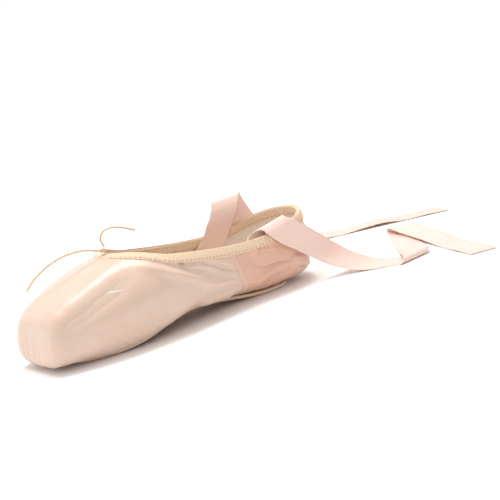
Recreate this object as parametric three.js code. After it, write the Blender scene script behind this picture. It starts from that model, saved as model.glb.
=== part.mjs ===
// Pointe shoe: one satin ballet shoe for dancing on the toes, standing empty on its sole.
//
// Frame: millimetres, +Z up. The toe points along -X, the heel along +X, and the floor is z = 0.
// The origin is on the floor, under the middle of the shoe's length and width.
// "at" is always the distance from the tip of the toe towards the heel, so x is about at - LENGTH / 2.
// The shoe is the same on both sides of y = 0: a pointe shoe has no left or right.

import * as THREE from 'three';

// ---------------------------------------------------------------- driving dimensions

const LENGTH = 240; // 36 Paris points of 6.67 mm
const OUTSOLE_THICKNESS = 2.7;
const GAP = 0.3; // between pieces that touch
const TOE_SPRING = 0.8; // lift of the satin under the very toe
const ARCH_RISE = 8; // lift of the sole at the waist
const ARCH_FROM = 40;
const ARCH_TO = 188;
const TIP_TOP = 11; // radii round the platform
const TIP_SIDE = 7;
const TIP_LOW = 5;
const PLATFORM_LEAN = 0.09; // the platform's top is this share of its height behind its foot
const LEAN_FADES_AT = 60;
const TIP_BACK = 0.8; // the leaning platform's foremost point is this far behind at = 0
const BOX_WALL = 3; // pasted canvas, satin and lining
const QUARTER_WALL = 2; // satin, canvas and lining
const BOX_WALL_ENDS = 78;
const QUARTER_WALL_STARTS = 112;
const HEEL_ROUND_FROM = 203; // the heel's rounding starts here
const HEEL_POLE = 27; // height of the furthest point of the heel
const THROAT = 71; // front of the collar
const THROAT_SPREAD = 34; // the throat opens as y * y / THROAT_SPREAD
const THROAT_BLEND = 1.6; // softens where the throat meets the side of the collar
const BINDING_WIDTH = 8.5;
const BINDING_PROUD = 0.6; // on each side of the upper's wall
const BINDING_GAP = 0.6; // wider than GAP because the seam curves
const OUTSOLE_FRONT = 23.5;
const OUTSOLE_BACK = 214;
const OUTSOLE_BEVEL = 0.7;
const FEATHER = 7; // the upper's margin that the outsole covers
const INSOLE_THICKNESS = 2;
const INSOLE_FRONT = 9;
const INSOLE_BACK = 225;
const INSOLE_ROUND = 18; // how far back each round end goes
const INSOLE_REACH = 0.74; // share of the last's half width
const RIBBON_WIDTH = 22;
const RIBBON_THICKNESS = 0.6;
const STRING_DIAMETER = 1.4;

// The last. half: half width; wide: height of the widest level; crown: height of the closed form
// over the foot; over and under: how square the section is above and below its widest level.
const LAST = [
  { at: 5, half: 28.2, wide: 22, crown: 40, over: 2.7, under: 4.2 },
  { at: 15, half: 31.4, wide: 22, crown: 44.2, over: 2.6, under: 4.2 },
  { at: 30, half: 35.4, wide: 22.5, crown: 50, over: 2.5, under: 4 },
  { at: 50, half: 39, wide: 24, crown: 56.8, over: 2.4, under: 3.8 },
  { at: 74, half: 40.5, wide: 25, crown: 62.4, over: 2.3, under: 3.8 },
  { at: 100, half: 39.2, wide: 24.5, crown: 67, over: 2.2, under: 3.6 },
  { at: 125, half: 36.8, wide: 25.5, crown: 70, over: 2.1, under: 3.2 },
  { at: 150, half: 34.2, wide: 26, crown: 73, over: 2.1, under: 3 },
  { at: 175, half: 32.2, wide: 26, crown: 76, over: 2.1, under: 3.2 },
  { at: 205, half: 31, wide: 26, crown: 78, over: 2.1, under: 3.6 },
];

// The collar's height along the sides.
const COLLAR = [
  { at: 71, height: 59.5 },
  { at: 88, height: 57.2 },
  { at: 106, height: 54.2 },
  { at: 128, height: 50.6 },
  { at: 150, height: 47.8 },
  { at: 172, height: 46.3 },
  { at: 195, height: 47.6 },
  { at: 218, height: 51.4 },
  { at: 240, height: 55.2 },
];

// The outsole's half width. Its two ends are round, so the first and last rows are narrow.
const OUTSOLE = [
  { at: 23.5, half: 13 },
  { at: 25.5, half: 17.2 },
  { at: 30, half: 20.4 },
  { at: 41, half: 25.3 },
  { at: 54, half: 29.4 },
  { at: 68, half: 31.2 },
  { at: 81, half: 29.6 },
  { at: 99, half: 24.4 },
  { at: 116, half: 20.6 },
  { at: 132, half: 18.1 },
  { at: 148, half: 17.3 },
  { at: 162, half: 18 },
  { at: 176, half: 19.8 },
  { at: 189, half: 21 },
  { at: 199, half: 20.3 },
  { at: 207, half: 16.8 },
  { at: 211.5, half: 12 },
  { at: 214, half: 6 },
];

// ---------------------------------------------------------------- reading the tables

/** Smooth value of one column of a table at a distance from the toe. */
function read(table, column, at) {
  const last = table.length - 1;
  const x = THREE.MathUtils.clamp(at, table[0].at, table[last].at);
  let i = 0;
  while (i < last - 1 && x > table[i + 1].at) i += 1;
  const slope = (k) => {
    const before = table[Math.max(k - 1, 0)];
    const after = table[Math.min(k + 1, last)];
    return (after[column] - before[column]) / (after.at - before.at);
  };
  const from = table[i];
  const to = table[i + 1];
  const span = to.at - from.at;
  const t = (x - from.at) / span;
  const turned = 3 * t * t - 2 * t * t * t;
  return (
    from[column] * (1 - turned) +
    to[column] * turned +
    slope(i) * span * t * (1 - t) * (1 - t) -
    slope(i + 1) * span * t * t * (1 - t)
  );
}

/** Height of the satin's underside, which the outsole follows: level at its front edge and its heel. */
function underside(at) {
  const along = THREE.MathUtils.clamp((at - ARCH_FROM) / (ARCH_TO - ARCH_FROM), 0, 1);
  const spring = TOE_SPRING * Math.max(0, 1 - at / OUTSOLE_FRONT) ** 2;
  return OUTSOLE_THICKNESS + GAP + ARCH_RISE * Math.sin(Math.PI * along) ** 2 + spring;
}

/** Wall thickness: stiff in the toe box, soft in the quarters. */
function wall(at) {
  const soft = THREE.MathUtils.smoothstep(at, BOX_WALL_ENDS, QUARTER_WALL_STARTS);
  return BOX_WALL + (QUARTER_WALL - BOX_WALL) * soft;
}

/** How far an edge of the given radius round the platform has drawn in at a distance from the toe. */
function tipInset(at, radius) {
  const left = radius - THREE.MathUtils.clamp(at, 0, radius);
  return radius - Math.sqrt(radius ** 2 - left ** 2);
}

/** The section of the last at a distance from the toe, with its two rounded ends. */
function section(at) {
  const made = { low: underside(at) };
  for (const column of ['half', 'wide', 'crown', 'over', 'under']) {
    made[column] = read(LAST, column, at);
  }
  made.half -= tipInset(at, TIP_SIDE);
  made.crown -= tipInset(at, TIP_TOP);
  made.low += tipInset(at, TIP_LOW);
  if (at > HEEL_ROUND_FROM) {
    const u = Math.min((at - HEEL_ROUND_FROM) / (LENGTH - HEEL_ROUND_FROM), 1);
    const close = (power) => Math.max(1 - u ** power, 1e-6) ** (1 / power);
    made.half *= close(2.2);
    made.crown = HEEL_POLE + (made.crown - HEEL_POLE) * close(3.1);
    made.low = HEEL_POLE - (HEEL_POLE - made.low) * close(3.4);
    made.wide = HEEL_POLE + (made.wide - HEEL_POLE) * close(2);
  }
  return made;
}

/** Whether a point is inside the last, before the platform's lean. */
function insideLast({ x: at, y, z }) {
  if (at < 0 || at > LENGTH) return false;
  const { half, wide, crown, low, over, under } = section(at);
  const power = z > wide ? over : under;
  const reach = z > wide ? crown - wide : wide - low;
  return (Math.abs(y) / half) ** power + (Math.abs(z - wide) / reach) ** power < 1;
}

/** How far past the collar's edge a point of the last is: negative on the upper. */
function pastCollar({ x: at, y, z }) {
  const above = z - read(COLLAR, 'height', at);
  const behindThroat = at - THROAT - (y * y) / THROAT_SPREAD;
  const least = Math.min(above, behindThroat);
  const spread = Math.exp(-Math.abs(above - behindThroat) / THROAT_BLEND);
  return least - THROAT_BLEND * Math.log(1 + spread);
}

/** Half width of the opening under the upper, inside the outsole's edge. */
function footOpening(at) {
  const front = OUTSOLE_FRONT + FEATHER;
  const back = OUTSOLE_BACK - FEATHER;
  if (at < front || at > back) return 0;
  const squeezed = OUTSOLE_FRONT + ((at - front) * (OUTSOLE_BACK - OUTSOLE_FRONT)) / (back - front);
  return Math.max(read(OUTSOLE, 'half', squeezed) - FEATHER, 0.5);
}

/** A point of the last in the part's frame, with the platform leaning back. */
function place(at, y, z) {
  const fade = Math.max(0, 1 - at / LEAN_FADES_AT) ** 2;
  return new THREE.Vector3(at - (LENGTH + TIP_BACK) / 2 + PLATFORM_LEAN * z * fade, y, z);
}

// ---------------------------------------------------------------- the upper's surface

// Each column of the upper's grid lies in an upright plane that runs out from the middle of the
// shoe: the planes fan out round the toe and round the heel, and are parallel between.
const TOE_FAN_AT = 100;
const HEEL_FAN_AT = 196;
const FAN_HEIGHT = 24;
const TOE_COLUMNS = 44;
const SIDE_COLUMNS = 9;
const HEEL_COLUMNS = 16;
const ROWS = 19;
const BINDING_ROWS = 4;
const RAY_STEPS = 240;
const HALVINGS = 22;
const OUTSOLE_STATIONS = 50;
const INSOLE_STATIONS = 30;
const BEND_WEIGHT = 12; // a bend of one radian draws as many points as this length

/** The planes, counted round the shoe from the near side's waist by way of the toe. */
function planes() {
  const made = [];
  for (let i = 0; i < TOE_COLUMNS; i += 1) {
    // More planes point at the platform than at the sides of the box.
    const t = -1 + (2 * i) / TOE_COLUMNS;
    const turn = (Math.PI / 2) * (0.62 * t + 0.38 * t ** 3);
    made.push({ at: TOE_FAN_AT, ahead: -Math.cos(turn), aside: Math.sin(turn) });
  }
  for (let i = 0; i < SIDE_COLUMNS; i += 1) {
    const at = TOE_FAN_AT + ((HEEL_FAN_AT - TOE_FAN_AT) * i) / SIDE_COLUMNS;
    made.push({ at, ahead: 0, aside: 1 });
  }
  for (let i = 0; i < HEEL_COLUMNS; i += 1) {
    const turn = (Math.PI * i) / HEEL_COLUMNS;
    made.push({ at: HEEL_FAN_AT, ahead: Math.sin(turn), aside: Math.cos(turn) });
  }
  for (let i = 0; i < SIDE_COLUMNS; i += 1) {
    const at = HEEL_FAN_AT - ((HEEL_FAN_AT - TOE_FAN_AT) * i) / SIDE_COLUMNS;
    made.push({ at, ahead: 0, aside: -1 });
  }
  return made;
}

/** The furthest distance, by halving, at which a test still holds. */
function furthest(holds, limit) {
  let near = 0;
  let far = limit;
  for (let i = 0; i < HALVINGS; i += 1) {
    const middle = (near + far) / 2;
    if (holds(middle)) near = middle;
    else far = middle;
  }
  return near;
}

/** The outline of the last in one plane, from the edge of the foot opening up to the collar. */
function outline(plane) {
  const onRay = (tilt, far) => {
    const level = far * Math.cos(tilt);
    const rise = far * Math.sin(tilt);
    return new THREE.Vector3(plane.at + plane.ahead * level, plane.aside * level, FAN_HEIGHT + rise);
  };
  const reach = (tilt) => furthest((far) => insideLast(onRay(tilt, far)), LENGTH);
  const surface = (tilt) => onRay(tilt, reach(tilt));
  const edge = furthest(
    (far) => Math.abs(plane.aside * far) < footOpening(plane.at + plane.ahead * far),
    LENGTH,
  );
  const lowest = -furthest((tilt) => reach(-tilt) * Math.cos(tilt) > edge, Math.PI / 2);
  const highest = furthest((tilt) => pastCollar(surface(tilt)) < 0, Math.PI / 2);
  return Array.from({ length: RAY_STEPS + 1 }, (_, i) =>
    surface(lowest + ((highest - lowest) * i) / RAY_STEPS),
  );
}

/** The same outline with fewer points, closer together where it bends, between two lengths. */
function spaced(points, from, to, count) {
  const lengths = [0];
  const weights = [0];
  for (let i = 1; i < points.length; i += 1) {
    const step = points[i].distanceTo(points[i - 1]);
    const ahead = points[Math.min(i + 1, points.length - 1)].clone().sub(points[i]);
    const bend = ahead.lengthSq() > 0 ? ahead.angleTo(points[i].clone().sub(points[i - 1])) : 0;
    lengths.push(lengths[i - 1] + step);
    weights.push(weights[i - 1] + step + BEND_WEIGHT * bend);
  }
  const whole = lengths[lengths.length - 1];
  const find = (table, value) => {
    let k = 0;
    while (k < table.length - 2 && table[k + 1] < value) k += 1;
    return { k, t: (value - table[k]) / Math.max(table[k + 1] - table[k], 1e-9) };
  };
  const weightAt = (length) => {
    const { k, t } = find(lengths, length);
    return weights[k] + (weights[k + 1] - weights[k]) * t;
  };
  const first = weightAt(from(whole));
  const last = weightAt(to(whole));
  return Array.from({ length: count }, (_, i) => {
    const { k, t } = find(weights, first + ((last - first) * i) / (count - 1));
    return points[k].clone().lerp(points[k + 1], t);
  });
}

/** Outward normal of a grid of points whose columns go round the shoe. */
function normalAt(grid, column, row) {
  const columns = grid.length;
  const rows = grid[0].length;
  const before = grid[(column + columns - 1) % columns][row];
  const after = grid[(column + 1) % columns][row];
  const below = grid[column][Math.max(row - 1, 0)];
  const above = grid[column][Math.min(row + 1, rows - 1)];
  return above.clone().sub(below).cross(after.clone().sub(before)).normalize();
}

/** Points of a grid moved along its normals by a distance that may depend on the point. */
function moved(grid, distance) {
  return grid.map((points, column) =>
    points.map((p, row) => p.clone().addScaledVector(normalAt(grid, column, row), distance(p, row))),
  );
}

/** A band round the shoe: an outer and an inner grid, joined along both edges. */
function bandGeometry(outer, inner) {
  const columns = outer.length;
  const rings = [...outer[0].map((_, row) => outer.map((points) => points[row]))];
  for (let row = inner[0].length - 1; row >= 0; row -= 1) {
    rings.push(inner.map((points) => points[row]));
  }
  const positions = rings.flat().map((p) => place(p.x, p.y, p.z));
  const index = [];
  rings.forEach((_, r) => {
    const next = (r + 1) % rings.length;
    for (let c = 0; c < columns; c += 1) {
      const d = (c + 1) % columns;
      const [a, b, e, f] = [r * columns + c, r * columns + d, next * columns + d, next * columns + c];
      index.push(a, e, b, a, f, e);
    }
  });
  return new THREE.BufferGeometry().setFromPoints(positions).setIndex(index);
}

// ---------------------------------------------------------------- lofts

/** A closed solid through rings with the same number of points, closed flat at both ends. */
function loftGeometry(rings) {
  const count = rings[0].length;
  const index = [];
  for (let r = 0; r < rings.length - 1; r += 1) {
    for (let k = 0; k < count; k += 1) {
      const n = (k + 1) % count;
      const [a, b, c, d] = [r * count + k, r * count + n, (r + 1) * count + n, (r + 1) * count + k];
      index.push(a, c, b, a, d, c);
    }
  }
  const end = (rings.length - 1) * count;
  for (let k = 1; k < count - 1; k += 1) {
    index.push(0, k, k + 1, end, end + k + 1, end + k);
  }
  return new THREE.BufferGeometry().setFromPoints(rings.flat()).setIndex(index);
}

/** Distances from the toe for a plate, close together at its rounded ends. */
function plateStations(front, back, count) {
  return Array.from({ length: count }, (_, i) => {
    const t = i / (count - 1);
    const eased = t - Math.sin(2 * Math.PI * t) / (2 * Math.PI);
    return front + (back - front) * (0.35 * t + 0.65 * eased);
  });
}

// ---------------------------------------------------------------- pieces

const columns = planes().map(outline);

function upperGeometry() {
  const below = (whole) => whole - BINDING_WIDTH;
  const outer = columns.map((points) => spaced(points, () => 0, below, ROWS));
  return bandGeometry(outer, moved(outer, (p) => -wall(p.x)));
}

/** The drawstring casing: a soft rounded rim on the upper's top edge. */
function bindingGeometry() {
  const middle = columns.map((points) =>
    spaced(points, (whole) => whole - BINDING_WIDTH + BINDING_GAP, (whole) => whole, BINDING_ROWS),
  );
  const swell = (row) => BINDING_PROUD * Math.sqrt(1 - (row / BINDING_ROWS) ** 3);
  const outer = moved(middle, (p, row) => swell(row));
  const inner = moved(middle, (p, row) => -wall(p.x) - swell(row));
  return bandGeometry(outer, inner);
}

function outsoleGeometry() {
  const rings = plateStations(OUTSOLE_FRONT, OUTSOLE_BACK, OUTSOLE_STATIONS).map((at) => {
    const half = read(OUTSOLE, 'half', at);
    const top = underside(at) - GAP;
    const low = top - OUTSOLE_THICKNESS;
    const foot = half - OUTSOLE_BEVEL;
    return [
      place(at, -half, top),
      place(at, half, top),
      place(at, half, low + OUTSOLE_BEVEL),
      place(at, foot, low),
      place(at, -foot, low),
      place(at, -half, low + OUTSOLE_BEVEL),
    ];
  });
  return loftGeometry(rings);
}

/** The insole: a board that follows the inside of the upper's underside, with round ends. */
function insoleGeometry() {
  const sides = [-1, -0.67, -0.33, 0, 0.33, 0.67, 1];
  const rings = plateStations(INSOLE_FRONT, INSOLE_BACK, INSOLE_STATIONS).map((at) => {
    const { half, wide, low, under } = section(at);
    const toEnd = Math.min(at - INSOLE_FRONT, INSOLE_BACK - at, INSOLE_ROUND);
    const round = Math.sqrt(1 - (1 - toEnd / INSOLE_ROUND) ** 2);
    const reach = INSOLE_REACH * Math.max(round, 0.2);
    const profile = (lift) =>
      sides.map((side) => {
        const share = reach * side;
        const level = 1 - Math.abs(share) ** under;
        const rise = (wide - low) * (1 - level ** (1 / under));
        const steep = ((wide - low) / half) * Math.abs(share) ** (under - 1) * level ** (1 / under - 1);
        const turn = Math.atan(steep) * Math.sign(share);
        const y = share * half - lift * Math.sin(turn);
        return place(at, y, low + rise + lift * Math.cos(turn));
      });
    const lift = wall(at) + 1.5 * GAP;
    return [...profile(lift + INSOLE_THICKNESS), ...profile(lift).reverse()];
  });
  return loftGeometry(rings);
}

// ---------------------------------------------------------------- ribbons and drawstring

// A ribbon's middle line in the part's frame, from where it is sewn inside the quarter to its
// free end. turn and tilt give, in degrees, the way that its crease lines run at each row.
const NEAR_RIBBON = [
  { x: 44, y: -29.4, z: 28, turn: 5, tilt: 2 },
  { x: 51, y: -28.6, z: 34, turn: 5, tilt: 2 },
  { x: 58, y: -26.6, z: 40, turn: 4, tilt: 3 },
  { x: 64.5, y: -25, z: 45.4, turn: 4, tilt: 7 },
  { x: 68.5, y: -24.4, z: 49.3, turn: 3, tilt: 8 },
  { x: 72.5, y: -27.7, z: 52, turn: 3, tilt: 9 },
  { x: 76.5, y: -31.7, z: 49.2, turn: 3, tilt: 9 },
  { x: 83, y: -33.2, z: 43.4, turn: 2, tilt: 8 },
  { x: 92, y: -34.2, z: 36.2, turn: 2, tilt: 5 },
  { x: 102, y: -35, z: 28.5, turn: 2, tilt: 2 },
  { x: 112, y: -36.4, z: 20.8, turn: 3, tilt: 1 },
  { x: 121, y: -39.8, z: 13.4, turn: 3, tilt: 0 },
  { x: 130, y: -45, z: 7.5, turn: 4, tilt: 0 },
  { x: 138.5, y: -51.5, z: 2.9, turn: 4, tilt: 0 },
  { x: 148, y: -59, z: 0.9, turn: 5, tilt: 0 },
  { x: 158, y: -67.4, z: 0.5, turn: 5, tilt: 0 },
  { x: 164, y: -74, z: 0.5, turn: 5, tilt: 0 },
  { x: 166.5, y: -75.7, z: 1.6, turn: 5, tilt: 0 },
  { x: 168.7, y: -75.5, z: 3.8, turn: 5, tilt: 0 },
  { x: 170.9, y: -73.4, z: 4.9, turn: 5, tilt: 0 },
  { x: 177.3, y: -65.7, z: 4.2, turn: 2, tilt: 0 },
  { x: 185, y: -56.5, z: 2.6, turn: -5, tilt: 0 },
  { x: 194, y: -45.8, z: 1.2, turn: -14, tilt: 0 },
  { x: 203, y: -35.1, z: 0.6, turn: -22, tilt: 0 },
  { x: 216, y: -19.6, z: 1.4, turn: -28, tilt: 0 },
  { x: 229, y: -4.2, z: 0.7, turn: -30, tilt: 0 },
  { x: 238.4, y: 7, z: 0.5, turn: -30, tilt: 0 },
  { x: 239.7, y: 8.4, z: 1.6, turn: -30, tilt: 0 },
  { x: 240, y: 8.2, z: 3.8, turn: -30, tilt: 0 },
  { x: 239.4, y: 6.4, z: 4.9, turn: -30, tilt: 0 },
  { x: 236, y: -3, z: 4.6, turn: -29, tilt: 0 },
  { x: 231.9, y: -14.3, z: 3.8, turn: -27, tilt: 0 },
  { x: 226, y: -30.4, z: 3.4, turn: -24, tilt: 0 },
  { x: 220, y: -47, z: 2.7, turn: -21, tilt: 0 },
  { x: 214, y: -63.3, z: 1.6, turn: -20, tilt: 0 },
  { x: 206.9, y: -82.9, z: 0.6, turn: -20, tilt: 0 },
  { x: 200, y: -102, z: 1.3, turn: -20, tilt: 0 },
  { x: 194.6, y: -119, z: 0.6, turn: -20, tilt: 0 },
];
const FAR_RIBBON = [
  { x: 48, y: 29.2, z: 28, turn: -5, tilt: 2 },
  { x: 53, y: 28.4, z: 34, turn: -5, tilt: 2 },
  { x: 58, y: 26.5, z: 40, turn: -4, tilt: 3 },
  { x: 62.5, y: 24.9, z: 46.6, turn: -4, tilt: 7 },
  { x: 66.5, y: 24, z: 52.8, turn: -3, tilt: 8 },
  { x: 70.5, y: 24.3, z: 58.3, turn: -3, tilt: 8 },
  { x: 74.5, y: 25.7, z: 64.3, turn: -2, tilt: 7 },
  { x: 78.5, y: 28.9, z: 69, turn: -1, tilt: 3 },
  { x: 83.3, y: 34, z: 68.8, turn: 0, tilt: 2 },
  { x: 88, y: 37, z: 63.4, turn: 0, tilt: 2 },
  { x: 94, y: 38.3, z: 53.8, turn: 1, tilt: 1 },
  { x: 102, y: 38.7, z: 40.9, turn: 2, tilt: 1 },
  { x: 111, y: 40.2, z: 29.5, turn: 3, tilt: 0 },
  { x: 120, y: 43, z: 19.5, turn: 4, tilt: 0 },
  { x: 129, y: 47.6, z: 11, turn: 5, tilt: 0 },
  { x: 138, y: 54, z: 4.6, turn: 6, tilt: 0 },
  { x: 147, y: 61.6, z: 1.3, turn: 7, tilt: 0 },
  { x: 157, y: 70, z: 0.5, turn: 8, tilt: 0 },
  { x: 165, y: 78.5, z: 0.5, turn: 8, tilt: 0 },
  { x: 172, y: 84.5, z: 0.5, turn: 8, tilt: 0 },
  { x: 175.3, y: 86.9, z: 1.6, turn: 8, tilt: 0 },
  { x: 178.8, y: 87.4, z: 3.8, turn: 8, tilt: 0 },
  { x: 182.6, y: 85.9, z: 4.9, turn: 8, tilt: 0 },
  { x: 191.7, y: 81.7, z: 4.2, turn: 11, tilt: 0 },
  { x: 202.5, y: 76.6, z: 2.6, turn: 19, tilt: 0 },
  { x: 215, y: 70.7, z: 1.4, turn: 31, tilt: 0 },
  { x: 228, y: 64.8, z: 0.7, turn: 44, tilt: 0 },
  { x: 244, y: 57.4, z: 2.2, turn: 55, tilt: 0 },
  { x: 260, y: 49.8, z: 2.8, turn: 61, tilt: 0 },
  { x: 277, y: 41.6, z: 0.8, turn: 63, tilt: 0 },
  { x: 296, y: 32.4, z: 1.2, turn: 64, tilt: 0 },
  { x: 315, y: 23, z: 0.6, turn: 64, tilt: 0 },
];

// The drawstring's two ends, from the knot at the throat.
const STRING_LONG = [
  { x: -56.4, y: 0, z: 65.4 },
  { x: -66, y: 1.4, z: 68.2 },
  { x: -76, y: 3.2, z: 68.8 },
  { x: -86, y: 5.6, z: 67 },
  { x: -95, y: 8.6, z: 63 },
  { x: -102.5, y: 11.6, z: 57.6 },
  { x: -108, y: 14.4, z: 51.2 },
];
const STRING_SHORT = [
  { x: -51.6, y: 0, z: 66.8 },
  { x: -53, y: 0.6, z: 72.4 },
  { x: -50.4, y: 0.4, z: 76.8 },
  { x: -44, y: -0.6, z: 78.4 },
  { x: -35.5, y: -2, z: 76.4 },
  { x: -27, y: -3.4, z: 72.4 },
];
const KNOT = { x: -53, z: 64.7, radius: 1.5, strand: 0.6 };

/** A flat ribbon along a route, its true width kept where its crease lines run aslant. */
function ribbonGeometry(route) {
  const middle = new THREE.CatmullRomCurve3(route.map(({ x, y, z }) => new THREE.Vector3(x, y, z)));
  const creases = new THREE.CatmullRomCurve3(
    route.map(({ turn, tilt }) => new THREE.Vector3(turn, tilt, 0)),
    false,
    'catmullrom',
  );
  const steps = 2 * (route.length - 1);
  const rings = Array.from({ length: steps + 1 }, (_, i) => {
    const centre = middle.getPoint(i / steps);
    const along = middle.getTangent(i / steps);
    const [turn, tilt] = creases.getPoint(i / steps).toArray().map(THREE.MathUtils.degToRad);
    const level = Math.cos(tilt);
    const crease = new THREE.Vector3(level * Math.cos(turn), level * Math.sin(turn), Math.sin(tilt));
    const face = along.clone().cross(crease);
    crease.multiplyScalar(RIBBON_WIDTH / 2 / face.length());
    face.setLength(RIBBON_THICKNESS / 2);
    return [
      centre.clone().add(crease).add(face),
      centre.clone().add(crease).sub(face),
      centre.clone().sub(crease).sub(face),
      centre.clone().sub(crease).add(face),
    ];
  });
  return loftGeometry(rings);
}

function stringGeometry(route) {
  const path = new THREE.CatmullRomCurve3(route.map(({ x, y, z }) => new THREE.Vector3(x, y, z)));
  const section = new THREE.Shape().absarc(0, 0, STRING_DIAMETER / 2, 0, 2 * Math.PI);
  const steps = 3 * (route.length - 1);
  const options = { steps, curveSegments: 8, bevelEnabled: false, extrudePath: path };
  return new THREE.ExtrudeGeometry(section, options);
}

function knotGeometry() {
  const knot = new THREE.TorusKnotGeometry(KNOT.radius, KNOT.strand, 36, 6);
  return knot.translate(KNOT.x, 0, KNOT.z);
}

// ---------------------------------------------------------------- materials and scene graph

function finish(color, roughness) {
  return new THREE.MeshStandardMaterial({ color, roughness, metalness: 0 });
}

const SATIN = finish('#ecd3c6', 0.42);
const COTTON = finish('#e3c8a6', 0.85);
const LEATHER = finish('#bd8468', 0.8);
const CANVAS = finish('#efe6dc', 0.9);
const RIBBON_SATIN = finish('#edcfc3', 0.38);

function piece(name, geometry, material) {
  const mesh = new THREE.Mesh(geometry, material);
  mesh.name = name;
  return mesh;
}

const shoe = new THREE.Group();
shoe.add(piece('upper', upperGeometry(), SATIN));
shoe.add(piece('collar_binding', bindingGeometry(), COTTON));
shoe.add(piece('outsole', outsoleGeometry(), LEATHER));
shoe.add(piece('insole', insoleGeometry(), CANVAS));
shoe.add(piece('ribbon_near', ribbonGeometry(NEAR_RIBBON), RIBBON_SATIN));
shoe.add(piece('ribbon_far', ribbonGeometry(FAR_RIBBON), RIBBON_SATIN));
shoe.add(piece('drawstring_knot', knotGeometry(), COTTON));
shoe.add(piece('drawstring_end_long', stringGeometry(STRING_LONG), COTTON));
shoe.add(piece('drawstring_end_short', stringGeometry(STRING_SHORT), COTTON));

export default shoe;
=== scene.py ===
"""Pointe shoe in pale pink satin, standing empty on its leather sole.

Sizes are in millimetres, in the shoe's own frame: the toe points along -X, +Z is up and the floor
is z = 0. "at" is the distance from the tip of the toe towards the heel. Meshes are made in metres.
"""

import math

import bpy
import numpy as np
from mathutils import Matrix, Vector
from mathutils.bvhtree import BVHTree


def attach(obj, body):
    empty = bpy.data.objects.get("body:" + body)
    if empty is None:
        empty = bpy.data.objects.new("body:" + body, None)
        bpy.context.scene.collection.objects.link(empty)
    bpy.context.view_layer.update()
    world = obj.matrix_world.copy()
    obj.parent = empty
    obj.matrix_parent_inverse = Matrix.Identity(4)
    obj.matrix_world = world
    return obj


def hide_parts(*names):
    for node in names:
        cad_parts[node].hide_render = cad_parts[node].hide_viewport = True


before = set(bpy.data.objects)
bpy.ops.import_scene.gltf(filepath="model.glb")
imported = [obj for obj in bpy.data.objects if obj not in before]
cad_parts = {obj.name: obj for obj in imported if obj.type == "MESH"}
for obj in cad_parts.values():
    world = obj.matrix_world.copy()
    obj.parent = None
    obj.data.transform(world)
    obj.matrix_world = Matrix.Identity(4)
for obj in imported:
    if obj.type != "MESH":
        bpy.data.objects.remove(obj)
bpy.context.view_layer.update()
MM = 0.001
BODY = "root"

# ---------------------------------------------------------------- the shoe's sizes

LENGTH = 240
OUTSOLE_THICKNESS = 2.7
GAP = 0.3
TOE_SPRING = 0.8
ARCH_RISE = 8
ARCH_FROM = 40
ARCH_TO = 188
TIP_TOP = 11
TIP_SIDE = 7
TIP_LOW = 5
TIP_BACK = 0.8
PLATFORM_LEAN = 0.09
LEAN_FADES_AT = 60
BOX_WALL = 3
QUARTER_WALL = 2
BOX_WALL_ENDS = 78
QUARTER_WALL_STARTS = 112
HEEL_ROUND_FROM = 203
HEEL_POLE = 27
THROAT = 71
THROAT_SPREAD = 34
THROAT_BLEND = 1.6
BINDING_WIDTH = 8.5
OUTSOLE_FRONT = 23.5
OUTSOLE_BACK = 214
FEATHER = 7
INSOLE_FRONT = 9
INSOLE_BACK = 225
INSOLE_ROUND = 18
INSOLE_REACH = 0.74
INSOLE_THICKNESS = 2
RIBBON_WIDTH = 22
STRING_DIAMETER = 1.4
STRING_LAY = 2.6  # length of one turn of its strands
FLOOR_CLEARANCE = 0.3  # of the satin's folds
RIBBON_THICKNESS = 0.4
RIBBON_CLEARANCE = 0.1
SATIN_THICKNESS = 0.9  # satin and its backing, outside the canvas lining
LINING_MARGIN = 0.15  # between the satin's backing and the lining
BINDING_LAP = 1.5  # of the binding over the satin's top

LAST = [
    {"at": 5, "half": 28.2, "wide": 22, "crown": 40, "over": 2.7, "under": 4.2},
    {"at": 15, "half": 31.4, "wide": 22, "crown": 44.2, "over": 2.6, "under": 4.2},
    {"at": 30, "half": 35.4, "wide": 22.5, "crown": 50, "over": 2.5, "under": 4},
    {"at": 50, "half": 39, "wide": 24, "crown": 56.8, "over": 2.4, "under": 3.8},
    {"at": 74, "half": 40.5, "wide": 25, "crown": 62.4, "over": 2.3, "under": 3.8},
    {"at": 100, "half": 39.2, "wide": 24.5, "crown": 67, "over": 2.2, "under": 3.6},
    {"at": 125, "half": 36.8, "wide": 25.5, "crown": 70, "over": 2.1, "under": 3.2},
    {"at": 150, "half": 34.2, "wide": 26, "crown": 73, "over": 2.1, "under": 3},
    {"at": 175, "half": 32.2, "wide": 26, "crown": 76, "over": 2.1, "under": 3.2},
    {"at": 205, "half": 31, "wide": 26, "crown": 78, "over": 2.1, "under": 3.6},
]
COLLAR = [
    {"at": 71, "height": 59.5},
    {"at": 88, "height": 57.2},
    {"at": 106, "height": 54.2},
    {"at": 128, "height": 50.6},
    {"at": 150, "height": 47.8},
    {"at": 172, "height": 46.3},
    {"at": 195, "height": 47.6},
    {"at": 218, "height": 51.4},
    {"at": 240, "height": 55.2},
]
OUTSOLE = [
    {"at": 23.5, "half": 13},
    {"at": 25.5, "half": 17.2},
    {"at": 30, "half": 20.4},
    {"at": 41, "half": 25.3},
    {"at": 54, "half": 29.4},
    {"at": 68, "half": 31.2},
    {"at": 81, "half": 29.6},
    {"at": 99, "half": 24.4},
    {"at": 116, "half": 20.6},
    {"at": 132, "half": 18.1},
    {"at": 148, "half": 17.3},
    {"at": 162, "half": 18},
    {"at": 176, "half": 19.8},
    {"at": 189, "half": 21},
    {"at": 199, "half": 20.3},
    {"at": 207, "half": 16.8},
    {"at": 211.5, "half": 12},
    {"at": 214, "half": 6},
]

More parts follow.
